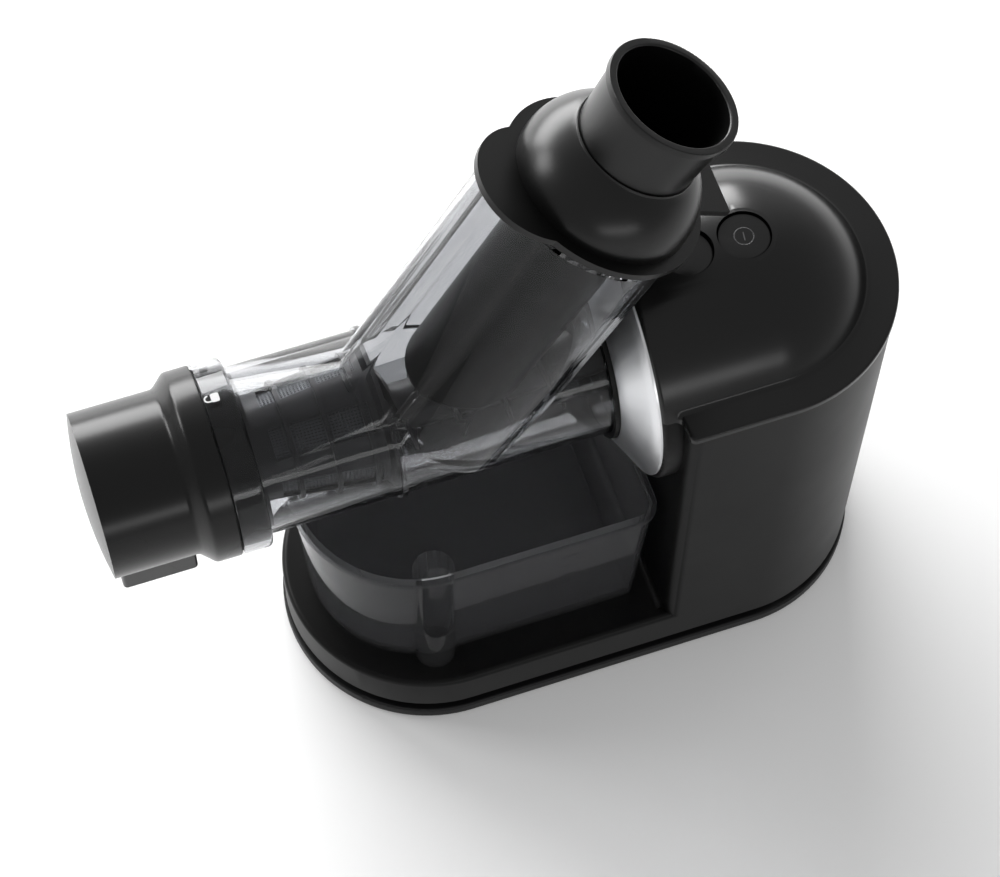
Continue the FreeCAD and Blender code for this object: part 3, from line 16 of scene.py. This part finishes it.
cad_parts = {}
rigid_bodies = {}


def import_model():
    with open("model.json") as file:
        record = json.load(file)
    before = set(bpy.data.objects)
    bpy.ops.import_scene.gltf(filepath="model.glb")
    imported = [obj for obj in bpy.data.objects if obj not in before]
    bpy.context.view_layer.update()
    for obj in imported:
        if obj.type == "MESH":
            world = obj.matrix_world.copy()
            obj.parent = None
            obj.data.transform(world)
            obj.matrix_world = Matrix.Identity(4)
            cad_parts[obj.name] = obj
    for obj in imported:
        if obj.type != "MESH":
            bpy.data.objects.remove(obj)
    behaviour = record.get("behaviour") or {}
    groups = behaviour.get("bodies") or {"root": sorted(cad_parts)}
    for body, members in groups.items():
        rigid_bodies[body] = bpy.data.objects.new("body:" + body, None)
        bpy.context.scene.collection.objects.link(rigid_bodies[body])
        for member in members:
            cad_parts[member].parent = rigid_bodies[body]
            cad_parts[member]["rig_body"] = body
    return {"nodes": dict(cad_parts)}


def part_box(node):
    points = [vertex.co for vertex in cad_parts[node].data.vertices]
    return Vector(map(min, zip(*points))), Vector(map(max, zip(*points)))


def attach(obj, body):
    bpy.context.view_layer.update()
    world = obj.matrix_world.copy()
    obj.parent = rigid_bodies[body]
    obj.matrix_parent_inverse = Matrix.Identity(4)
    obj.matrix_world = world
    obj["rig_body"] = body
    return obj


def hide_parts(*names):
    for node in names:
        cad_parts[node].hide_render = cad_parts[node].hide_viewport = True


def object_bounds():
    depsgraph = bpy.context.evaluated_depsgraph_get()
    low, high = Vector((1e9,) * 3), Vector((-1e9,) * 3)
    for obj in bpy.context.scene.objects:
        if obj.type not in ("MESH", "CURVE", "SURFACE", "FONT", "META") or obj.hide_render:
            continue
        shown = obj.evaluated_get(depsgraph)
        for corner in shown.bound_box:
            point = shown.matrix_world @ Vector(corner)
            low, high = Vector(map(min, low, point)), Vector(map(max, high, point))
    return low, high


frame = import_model()
nodes = frame["nodes"]
cad_low, cad_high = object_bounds()
scene = bpy.context.scene
scene.view_settings.view_transform = "Standard"
mm = 0.001
print("CAD box in mm:", [round(v / mm, 1) for v in cad_high - cad_low])

# %% [markdown]
# The camera first. It looks steeply down on the juicer, from the front and a little from the
# left. A long lens far away and a wide lens close by can frame the object alike, but only one of
# them gives the right size of the near cup against the far base. Here the lens is about 107 mm,
# 1.3 m from the juicer's middle, turned by a small roll.

# %% Camera
camera_place = Vector((-0.20765, -0.5860, 1.3184))
camera_back = Vector((-0.15856, -0.43681, 0.88547)).normalized()
camera_roll = math.radians(1.25)
camera_lens = 107.31

level_right = Vector((0, 0, 1)).cross(camera_back).normalized()
level_up = camera_back.cross(level_right)
camera_right = level_right * math.cos(camera_roll) + level_up * math.sin(camera_roll)
camera_up = level_up * math.cos(camera_roll) - level_right * math.sin(camera_roll)
camera_data = bpy.data.cameras.new("studio_camera")
camera_data.lens = camera_lens
camera_data.sensor_width = 36.0
camera_data.clip_end = 20.0
camera = bpy.data.objects.new("studio_camera", camera_data)
scene.collection.objects.link(camera)
turn = Matrix((camera_right, camera_up, camera_back)).transposed()
camera.matrix_world = Matrix.Translation(camera_place) @ turn.to_4x4()
scene.camera = camera
print("camera looks along", [round(v, 3) for v in -camera_back])

# %% [markdown]
# Two helpers serve every material. Colours are picked as sRGB hex values, as a designer reads
# them off a sample, but the shader works in linear light, so one function converts them. The
# other adds a node: its settings are properties, and its inputs are plain values or the sockets
# that feed them, which keeps each material short enough to read as a recipe.

# %% Helpers for materials
def linear(hex_colour):
    """An sRGB hex colour as linear red, green, blue and alpha."""
    parts = [int(hex_colour[i:i + 2], 16) / 255 for i in (1, 3, 5)]
    return [v / 12.92 if v <= 0.04045 else ((v + 0.055) / 1.055) ** 2.4 for v in parts] + [1.0]


def add_node(tree, kind, inputs=None, **settings):
    """Adds a node with its settings, and its input values or the sockets that feed them."""
    made = tree.nodes.new(kind)
    for name, value in settings.items():
        setattr(made, name, value)
    for name, value in (inputs or {}).items():
        if isinstance(value, bpy.types.NodeSocket):
            tree.links.new(value, made.inputs[name])
        else:
            made.inputs[name].default_value = value
    return made


def empty_material(name):
    """A new material with its node tree cleared; returns both."""
    material = bpy.data.materials.new(name)
    material.use_nodes = True
    material.node_tree.nodes.clear()
    return material, material.node_tree


# %% [markdown]
# Most of the juicer is black ABS from a spark eroded mould. The sparks leave tiny pits in the
# steel, so the plastic has a fine even grain: it takes the mirror out of the shine and spreads a
# window's reflection into a wide soft streak. The recipe is a dark base, a middling roughness
# that drifts a little across the part, and a bump whose grain is 0.7 mm wide. The true grain is
# finer, but it would be lost between the pixels. The shine is weaker than plastic's usual 0.5,
# which keeps the blacks deep in a bright room.

# %% Moulded black plastics
def moulded_plastic(name, colour, roughness, grain=0.7 * mm, depth=0.004 * mm, shine=0.5,
                    patch=40 * mm, drift=0.04):
    """ABS or nylon from an eroded mould: dark base, drifting roughness, fine grain."""
    material, tree = empty_material(name)
    place = add_node(tree, "ShaderNodeTexCoord").outputs["Object"]
    patches = add_node(tree, "ShaderNodeTexNoise", {"Vector": place, "Scale": 1 / patch, "Detail": 2.0})
    rough = add_node(tree, "ShaderNodeMapRange", {
        "Value": patches.outputs["Fac"], "To Min": roughness - drift, "To Max": roughness + drift})
    grain_noise = add_node(tree, "ShaderNodeTexNoise", {"Vector": place, "Scale": 1 / grain, "Detail": 1.0})
    bump = add_node(tree, "ShaderNodeBump", {
        "Height": grain_noise.outputs["Fac"], "Strength": 0.6, "Distance": depth})
    shader = add_node(tree, "ShaderNodeBsdfPrincipled", {
        "Base Color": linear(colour), "Roughness": rough.outputs["Result"],
        "Normal": bump.outputs["Normal"], "Specular IOR Level": shine})
    add_node(tree, "ShaderNodeOutputMaterial", {"Surface": shader.outputs["BSDF"]})
    return material


shell_black = moulded_plastic("satin_black_abs", "#060606", 0.40, shine=0.16)
cover_black = moulded_plastic("polished_black_abs", "#050505", 0.25, shine=0.40)
head_black = moulded_plastic("satin_black_head_abs", "#060606", 0.30, shine=0.38)
cap_black = moulded_plastic("smooth_black_cap_abs", "#050505", 0.27, shine=0.32)
base_black = moulded_plastic("matt_black_base_abs", "#0c0c0d", 0.45, shine=0.26)
rod_black = moulded_plastic("matt_black_rod_abs", "#040404", 0.36, shine=0.12)
strainer_grey = moulded_plastic("dark_grey_nylon", "#232325", 0.42)
auger_grey = moulded_plastic("glass_filled_nylon", "#1b1b1c", 0.45)
gear_white = moulded_plastic("natural_acetal", "#d8d4c8", 0.35)
print("black plastics:", [m.name for m in bpy.data.materials])

# %% [markdown]
# The ring round the chamber's mouth is turned aluminium, blasted and anodised. Blasting leaves a
# silky surface without a direction, and the ring gathers light as one soft gradient. The metal
# keeps the default IOR; only its roughness and a faint bump from the blasting are set.

# %% Metals
def blasted_metal(name, colour, roughness, grain=0.25 * mm, depth=0.004 * mm, drift=0.05):
    """A metal with an even, silky surface: anodised aluminium, plated steel, bronze or copper."""
    material, tree = empty_material(name)
    place = add_node(tree, "ShaderNodeTexCoord").outputs["Object"]
    grain_noise = add_node(tree, "ShaderNodeTexNoise", {"Vector": place, "Scale": 1 / grain, "Detail": 2.0})
    rough = add_node(tree, "ShaderNodeMapRange", {
        "Value": grain_noise.outputs["Fac"], "To Min": roughness - drift, "To Max": roughness + drift})
    bump = add_node(tree, "ShaderNodeBump", {
        "Height": grain_noise.outputs["Fac"], "Strength": 0.5, "Distance": depth})
    shader = add_node(tree, "ShaderNodeBsdfPrincipled", {
        "Base Color": linear(colour), "Metallic": 1.0, "Roughness": rough.outputs["Result"],
        "Normal": bump.outputs["Normal"]})
    add_node(tree, "ShaderNodeOutputMaterial", {"Surface": shader.outputs["BSDF"]})
    return material


ring_aluminium = blasted_metal("satin_anodised_aluminium", "#e2e3e5", 0.32)
steel = blasted_metal("zinc_plated_steel", "#a9abad", 0.32)
ground_steel = blasted_metal("ground_steel", "#9a9c9f", 0.22)
bronze = blasted_metal("sintered_bronze", "#a5804c", 0.45)
copper = blasted_metal("enamelled_copper_wire", "#a85a32", 0.30)
painted_can = moulded_plastic("black_stoved_enamel", "#161617", 0.25)
board_green = moulded_plastic("glass_epoxy_board", "#1d5a34", 0.35)
print("metals and motor finishes ready")

# %% [markdown]
# The chamber and the jug are clear moulded plastic. What tells clear plastic from glass is its
# lower weight of edge colour and the slow waves that moulding leaves, which bend the reflections
# of straight things. So the surface is smooth with a long wave bump, and a light grey colour
# darkens where the wall is seen on edge. The chamber transmits everything. The jug is a darker
# grey and keeps back a little light. This is painted shade, which darkens the floor seen through
# its walls. The real plastic has an IOR near 1.57; the lower values here weaken its reflections,
# so that the black pieces behind it stay dark.

# %% Clear plastics
def clear_plastic(name, colour, ior, roughness, clear=1.0, wave=30 * mm, wave_depth=0.03 * mm):
    """Clear copolyester: smooth, fully transmitting, with the slow waves of moulding."""
    material, tree = empty_material(name)
    place = add_node(tree, "ShaderNodeTexCoord").outputs["Object"]
    waves = add_node(tree, "ShaderNodeTexNoise", {"Vector": place, "Scale": 1 / wave, "Detail": 0.0})
    bump = add_node(tree, "ShaderNodeBump", {
        "Height": waves.outputs["Fac"], "Strength": 1.0, "Distance": wave_depth})
    shader = add_node(tree, "ShaderNodeBsdfPrincipled", {
        "Base Color": linear(colour), "Roughness": roughness, "IOR": ior,
        "Transmission Weight": clear, "Normal": bump.outputs["Normal"]})
    add_node(tree, "ShaderNodeOutputMaterial", {"Surface": shader.outputs["BSDF"]})
    return material


chamber_clear = clear_plastic("clear_copolyester", "#cdced0", 1.28, 0.015)
# The jug's darker grey and the light it keeps back are painted shade, which darkens the floor seen through
# it.
jug_clear_painted_shade = clear_plastic("clear_jug_copolyester_painted_shade", "#b4b5b7", 1.08, 0.03, clear=0.955)
rubber = moulded_plastic("moulded_rubber", "#0c0c0c", 0.70, shine=0.3)
print("clear plastics and rubber ready")

# %% [markdown]
# The nodes that come from CAD are loose triangles, and each is shaded flat. A copy of a node can
# be merged and shaded smooth, with the hard edges kept by their angle, so that a turned cap looks
# round. The copy replaces the node, takes its place and its body, and gets a finish of its own.

# %% Smooth copies of the moulded pieces
body_of = {name: node["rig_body"] for name, node in nodes.items()}
pieces = {}


def smooth_copy(name, material, sharp_angle=32):
    """A merged, smooth shaded copy of a CAD node, which then replaces it."""
    mesh = bpy.data.meshes.new(name + "_smooth")
    bm = bmesh.new()
    bm.from_mesh(nodes[name].data)
    bmesh.ops.remove_doubles(bm, verts=bm.verts, dist=0.004 * mm)
    for face in bm.faces:
        face.smooth = True
        face.material_index = 0
    for edge in bm.edges:
        if len(edge.link_faces) == 2:
            edge.smooth = edge.calc_face_angle() < math.radians(sharp_angle)
    bm.to_mesh(mesh)
    bm.free()
    piece = bpy.data.objects.new(name + "_moulded", mesh)
    scene.collection.objects.link(piece)
    mesh.materials.append(material)
    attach(piece, body_of[name])
    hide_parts(name)
    pieces[name] = piece
    return piece


finishes = {
    "base_plate": base_black, "lower_casing": shell_black, "top_cover": cover_black,
    "power_button": cover_black, "reverse_button": cover_black, "hub_socket": shell_black,
    "end_cap": cap_black, "pusher_rod": rod_black, "pusher_head": head_black,
    "trim_ring": ring_aluminium, "juice_chamber": chamber_clear, "jug": jug_clear_painted_shade,
    "strainer_frame": strainer_grey, "auger": auger_grey,
    "rubber_feet": rubber, "chamber_seal": rubber, "cord_gland": rubber,
}
sharp_angles = {"juice_chamber": 60}
for name, material in finishes.items():
    smooth_copy(name, material, sharp_angles.get(name, 32))
print("smooth copies:", len(pieces))

# %% [markdown]
# What sits inside the casing is rarely seen, but it shows when a cover is off and it is part of
# the model, so every hidden node gets the finish of the real thing as well: acetal gears, ground
# shafts, zinc plated plates, bronze bushes, an enamelled can, copper windings.

# %% Finishes of the hidden nodes
hidden_finishes = {
    "base_screws": steel, "board_screws": steel, "gearbox_screws": steel, "motor_screws": steel,
    "control_board": board_green, "power_switch": shell_black, "reverse_switch": shell_black,
    "hub_seal": rubber, "cap_seal": rubber, "cap_bush": strainer_grey,
    "gearbox_front_plate": steel, "gearbox_rear_plate": steel, "gearbox_posts": steel,
    "idler_pin_a": ground_steel, "idler_pin_b": ground_steel, "output_shaft": ground_steel,
    "motor_shaft": ground_steel, "motor_pinion": ground_steel,
    "output_bush_front": bronze, "output_bush_rear": bronze,
    "motor_bush_front": bronze, "motor_bush_rear": bronze,
    "motor_can": painted_can, "motor_front_bracket": steel, "motor_rear_bracket": steel,
    "motor_magnets": painted_can, "motor_brushes": painted_can,
    "output_gear": gear_white, "idler_gear_a": gear_white, "idler_gear_b": gear_white,
    "armature_core": steel, "armature_windings": copper, "commutator": copper,
    "cooling_fan": gear_white,
}
for name, material in hidden_finishes.items():
    slots = nodes[name].data.materials
    for i in range(len(slots)):
        nodes[name].material_slots[i].material = material
    if not slots:
        nodes[name].data.materials.append(material)
print("hidden nodes finished:", len(hidden_finishes))

# %% [markdown]
# New pieces are drawn with bmesh operators. One helper spins a small rectangle into a ring, which
# serves twice below. The other finishes each piece the same way: it makes the faces point
# outwards, gives the piece its material, and lets it ride on the body that carries it.

# %% Helpers for new pieces
ring_low, ring_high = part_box("trim_ring")
axis_height = (ring_low.z + ring_high.z) / 2
ring_reach = 88 * mm
base_zero = ring_high.x - ring_reach    # where the base's left round end has its centre


def spun_ring(bm, centre, inner, outer, low, high, steps):
    """A closed ring with a rectangular profile, spun round an upright axis in an empty bmesh."""
    profile = bmesh.ops.create_grid(bm, x_segments=1, y_segments=1, size=0.5)["verts"]
    for vert in profile:
        across = inner + (vert.co.x + 0.5) * (outer - inner)
        up = low + (vert.co.y + 0.5) * (high - low)
        vert.co = (centre.x + across, centre.y, centre.z + up)
    faces = bm.faces[:]
    bmesh.ops.spin(bm, geom=bm.verts[:] + bm.edges[:] + faces, cent=centre, axis=(0, 0, 1),
                   angle=math.tau, steps=steps, use_merge=True)
    bmesh.ops.delete(bm, geom=faces, context="FACES_ONLY")


def finished_piece(bm, name, material, body, sharp_angle=32):
    """Turns a bmesh into a piece of the juicer that rides on a body."""
    bmesh.ops.remove_doubles(bm, verts=bm.verts, dist=0.002 * mm)
    bmesh.ops.recalc_face_normals(bm, faces=bm.faces)
    for face in bm.faces:
        face.smooth = True
    for edge in bm.edges:
        if len(edge.link_faces) == 2:
            edge.smooth = edge.calc_face_angle() < math.radians(sharp_angle)
    mesh = bpy.data.meshes.new(name)
    bm.to_mesh(mesh)
    bm.free()
    mesh.materials.append(material)
    piece = bpy.data.objects.new(name, mesh)
    scene.collection.objects.link(piece)
    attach(piece, body)
    pieces[name] = piece
    return piece


print("axis height", round(axis_height / mm, 2), "base zero", round(base_zero / mm, 2))

# %% [markdown]
# The strainer is a stainless sheet with etched holes, rolled into a cone. At this distance the
# holes read as an even dark texture, but they are real openings: light passes through them. A
# cone is divided into small cells, each cell gets an inset frame, and the middle of the frame is
# deleted. Solidify then gives the sheet its thickness. Real holes are finer than these, which are
# 0.74 mm wide so that they show, and the steel is drawn darker than bright steel.

# %% Perforated strainer sheet
screen_left, screen_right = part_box("strainer_mesh")[0].x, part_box("strainer_mesh")[1].x
screen_radius_left = 21.8 * mm
screen_radius_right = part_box("strainer_mesh")[1].y
hole_pitch = 1.5 * mm
web_width = 0.38 * mm


def perforated_sheet():
    """A cone of steel with a hole in every cell."""
    length = screen_right - screen_left
    around = int(math.tau * screen_radius_right / hole_pitch)
    along = int(length / hole_pitch)
    bm = bmesh.new()
    bmesh.ops.create_cone(bm, cap_ends=False, segments=around, radius1=screen_radius_left,
                          radius2=screen_radius_right, depth=length)
    slopes = [e for e in bm.edges if abs(e.verts[0].co.z - e.verts[1].co.z) > length / 2]
    bmesh.ops.subdivide_edges(bm, edges=slopes, cuts=along - 1, use_grid_fill=True)
    cells = bm.faces[:]
    bmesh.ops.inset_individual(bm, faces=cells, thickness=web_width, use_even_offset=True)
    bmesh.ops.delete(bm, geom=cells, context="FACES_ONLY")
    along_x = Matrix.Rotation(math.radians(90), 4, "Y")
    middle_x = (screen_left + screen_right) / 2
    bmesh.ops.transform(bm, verts=bm.verts,
                        matrix=Matrix.Translation((middle_x, 0, axis_height)) @ along_x)
    print("strainer holes:", len(cells))
    return bm


screen_steel = blasted_metal("etched_screen_steel", "#5a5b5d", 0.38)
screen = finished_piece(perforated_sheet(), "strainer_screen", screen_steel, "chamber")
sheet = screen.modifiers.new("sheet thickness", "SOLIDIFY")
sheet.thickness = 0.5 * mm
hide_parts("strainer_mesh")

# %% [markdown]
# The power button carries a printed power sign. It is the common circle and bar, in grey ink, and
# lies a few hundredths of a millimetre proud of the cap, as pad printing does.

# %% Printed power sign
ink_grey = moulded_plastic("grey_pad_print", "#464647", 0.5, depth=0.001 * mm)
mark_white = moulded_plastic("white_pad_print", "#c9c9c9", 0.5, depth=0.001 * mm)


def printed_bar(bm, centre, length, line, rise, turn):
    """A flat printed bar with its normal up."""
    turned = Matrix.Translation(centre) @ Matrix.Rotation(turn, 4, "Z")
    shape = turned @ Matrix.Diagonal((line, length, rise, 1))
    bmesh.ops.create_cube(bm, size=1.0, matrix=shape)


def power_sign(button, sign_radius=4.2 * mm, line=0.45 * mm, rise=0.06 * mm, bar_turn=math.radians(-8)):
    """The circle and bar printed on a push button."""
    low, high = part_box(button)
    centre = Vector(((low.x + high.x) / 2, (low.y + high.y) / 2, high.z))
    bm = bmesh.new()
    spun_ring(bm, centre, sign_radius - line / 2, sign_radius + line / 2, -rise / 2, rise / 2, 64)
    printed_bar(bm, centre, sign_radius, line, rise, bar_turn)
    return finished_piece(bm, button + "_sign", ink_grey, body_of[button])


sign = power_sign("power_button")
print("power sign:", len(sign.data.polygons), "faces")

# %% [markdown]
# The clear collar is marked with a small padlock, which tells where the end cap is locked. It is
# a common sign: a filled rounded body with a bent shackle. It is drawn flat and then wrapped on
# the collar by turning each point's sideways place into an angle.

# %% Padlock marks on the collar
collar_radius = 42.0 * mm


def padlock_mark(name, x, angle, leg, body_wide=4.6 * mm, body_tall=3.6 * mm, rise=0.12 * mm,
                 corner=0.8 * mm, line=0.7 * mm, shackle_half=1.6 * mm):
    """A small printed padlock, wrapped on the collar. Its shackle's legs are leg long."""
    bm = bmesh.new()
    bmesh.ops.create_cube(bm, size=1.0, matrix=Matrix.Diagonal((body_wide, body_tall, rise, 1)))
    upright = [e for e in bm.edges if abs(e.verts[0].co.z - e.verts[1].co.z) > rise / 2]
    bmesh.ops.bevel(bm, geom=upright, offset=corner, segments=3, profile=0.5, affect="EDGES", material=-1)
    stub = Matrix.Translation((shackle_half, body_tall / 2, 0)) @ Matrix.Diagonal((line, 0.02 * mm, rise, 1))
    shackle = bmesh.ops.create_cube(bm, size=1.0, matrix=stub)["verts"]
    end = [f for f in bm.faces if all(v in shackle for v in f.verts) and f.normal.y > 0.5]
    grown = bmesh.ops.extrude_face_region(bm, geom=end)["geom"]
    legs = [g for g in grown if isinstance(g, bmesh.types.BMVert)]
    bmesh.ops.translate(bm, verts=legs, vec=(0, leg, 0))
    bmesh.ops.delete(bm, geom=end, context="FACES_ONLY")
    tips = [g for g in grown if isinstance(g, bmesh.types.BMFace)]
    height = legs[0].co.y
    bend = legs + [e for f in tips for e in f.edges] + tips
    bmesh.ops.spin(bm, geom=bend, cent=(0, height, 0), axis=(0, 0, 1), angle=math.pi, steps=12)
    for vert in bm.verts:
        across, up, out = vert.co
        turned_by = angle + across / collar_radius
        reach = collar_radius + out
        vert.co = (x - up, -reach * math.sin(turned_by), axis_height + reach * math.cos(turned_by))
    return finished_piece(bm, name, mark_white, "chamber")


collar_middle = base_zero - 88 * mm
padlock_mark("closed_padlock_mark", collar_middle, math.radians(-9), leg=1.0 * mm)
padlock_mark("open_padlock_mark", collar_middle, math.radians(-44), leg=2.0 * mm)
print("padlock marks:", [name for name in pieces if "padlock" in name])

# %% [markdown]
# The feed tube ends in a clear lip under the pusher's flange. It is one profile, spun round the
# tube's slanted axis; a lip this thin is seen as a few bright spots along its edge.

# %% Lip of the feed tube
def tube_lip(tilt=math.radians(28.05), cross=6.7 * mm, inner=40.0 * mm, outer=42.2 * mm,
             low=143.2 * mm, high=146.8 * mm):
    """A ring of clear plastic round the mouth of the slanted tube."""
    bm = bmesh.new()
    spun_ring(bm, Vector((0, 0, 0)), inner, outer, low, high, 96)
    foot = Matrix.Translation((base_zero + cross, 0, axis_height))
    bmesh.ops.transform(bm, verts=bm.verts, matrix=foot @ Matrix.Rotation(tilt, 4, "Y"))
    return finished_piece(bm, "tube_lip", chamber_clear, "chamber")


tube_lip()
print("lip of the feed tube:", len(pieces["tube_lip"].data.polygons), "faces")

# %% [markdown]
# The jug's front wall has a raised scale: short and longer lines by turns, without figures. The
# wall leans outwards, so each line is laid where a ray from the front meets it.

# %% Scale on the jug
def on_surface(piece, start, direction):
    """The point and the normal where a ray from start first meets a piece."""
    hit, point, normal, _ = piece.ray_cast(start, direction)
    return (point, normal) if hit else (None, None)


def jug_scale(lines=6, first=54 * mm, pitch=11 * mm, short=6 * mm, long=11 * mm, line=0.5 * mm,
              rise=0.3 * mm, share_of_length=0.70):
    """Raised lines on the front wall of the jug."""
    bm = bmesh.new()
    jug_low, jug_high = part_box("jug")
    mark_x = jug_low.x + (jug_high.x - jug_low.x) * share_of_length
    for i in range(lines):
        width = long if i % 2 else short
        start = Vector((mark_x, jug_low.y - 50 * mm, first + i * pitch))
        point, normal = on_surface(pieces["jug"], start, Vector((0, 1, 0)))
        if point is None or point.y > 0:
            continue
        shape = (Matrix.Translation(point) @ Matrix.Translation((width / 2, 0, 0))
                 @ normal.to_track_quat("Z", "X").to_matrix().to_4x4())
        bmesh.ops.create_cube(bm, size=1.0, matrix=shape @ Matrix.Diagonal((line, width, rise, 1)))
        print("scale line", i, "at", [round(v / mm, 1) for v in point])
    return finished_piece(bm, "jug_scale", jug_clear_painted_shade, "jug_body")


jug_scale()

# %% [markdown]
# The stage: one pale floor under plain studio light. The floor is lit like any surface, so it
# keeps the soft shadow, and it adds a little light of its own only to the rays that come from
# the camera, a mirror or through clear plastic, which lifts the open floor to white.

# %% Floor
def studio_floor(half_width=3.0, lift=0.10):
    """A wide pale sheet at the height on which the juicer stands."""
    material, tree = empty_material("pale_studio_floor")
    path = add_node(tree, "ShaderNodeLightPath").outputs
    seen = add_node(tree, "ShaderNodeMath", {0: path["Is Camera Ray"], 1: path["Is Glossy Ray"]},
                    operation="MAXIMUM")
    seen = add_node(tree, "ShaderNodeMath", {0: seen.outputs[0], 1: path["Is Transmission Ray"]},
                    operation="MAXIMUM")
    paper = add_node(tree, "ShaderNodeBsdfDiffuse", {"Color": linear("#efefef")})
    glow_level = add_node(tree, "ShaderNodeMath", {0: seen.outputs[0], 1: lift}, operation="MULTIPLY")
    glow = add_node(tree, "ShaderNodeEmission", {"Color": linear("#ffffff"),
                                                 "Strength": glow_level.outputs[0]})
    both = add_node(tree, "ShaderNodeAddShader", {0: paper.outputs[0], 1: glow.outputs[0]})
    add_node(tree, "ShaderNodeOutputMaterial", {"Surface": both.outputs[0]})
    mesh = bpy.data.meshes.new("studio_floor")
    bm = bmesh.new()
    bmesh.ops.create_grid(bm, x_segments=1, y_segments=1, size=half_width)
    bm.to_mesh(mesh)
    bm.free()
    floor = bpy.data.objects.new("studio_floor", mesh)
    mesh.materials.append(material)
    scene.collection.objects.link(floor)
    return floor


floor = studio_floor()
print("floor:", [round(v, 2) for v in floor.dimensions], "m")

# %% [markdown]
# One wide softbox behind the juicer does most of the work. It draws the bright band on the back of
# the dome and throws the shadow forwards. A small one at the left rounds the cap and the head, and
# a low strip in front opens the dark side. The air of the room is brighter towards the back wall
# and lights the floor from all round, which gives the soft dark rim where the base stands.

# %% Lights
def softbox(name, place, target, width, height, power):
    """A rectangular lamp that looks at a point of the juicer."""
    data = bpy.data.lights.new(name, "AREA")
    data.shape = "RECTANGLE"
    data.size = width
    data.size_y = height
    data.energy = power
    lamp = bpy.data.objects.new(name, data)
    aim = (Vector(target) - Vector(place)).to_track_quat("-Z", "Y")
    lamp.matrix_world = Matrix.Translation(place) @ aim.to_matrix().to_4x4()
    scene.collection.objects.link(lamp)
    return lamp


middle = (cad_low + cad_high) / 2
softbox("back_wall", (-0.15, 1.50, 0.72), middle, 1.8, 0.8, 52)
softbox("left_softbox", (-1.3, 0.9, 1.0), middle, 0.6, 0.6, 10)
softbox("front_strip", (0.0, -1.6, 0.55), middle, 1.2, 0.2, 3)


def studio_air(bright_way=(0.10, 0.97, 0.22), dim_level=0.45, bright_level=0.8):
    """Air that is brighter towards the back wall than elsewhere."""
    world = bpy.data.worlds.new("studio_air")
    world.use_nodes = True
    tree = world.node_tree
    tree.nodes.clear()
    place = add_node(tree, "ShaderNodeTexCoord").outputs["Generated"]
    facing = add_node(tree, "ShaderNodeVectorMath", {0: place, 1: bright_way}, operation="DOT_PRODUCT")
    level = add_node(tree, "ShaderNodeMapRange", {
        "Value": facing.outputs["Value"], "From Min": 0.45, "From Max": 1.0, "To Min": dim_level,
        "To Max": bright_level}, interpolation_type="SMOOTHSTEP")
    air = add_node(tree, "ShaderNodeBackground", {"Color": linear("#ffffff"), "Strength": level.outputs[0]})
    add_node(tree, "ShaderNodeOutputWorld", {"Surface": air.outputs[0]})
    scene.world = world


studio_air()
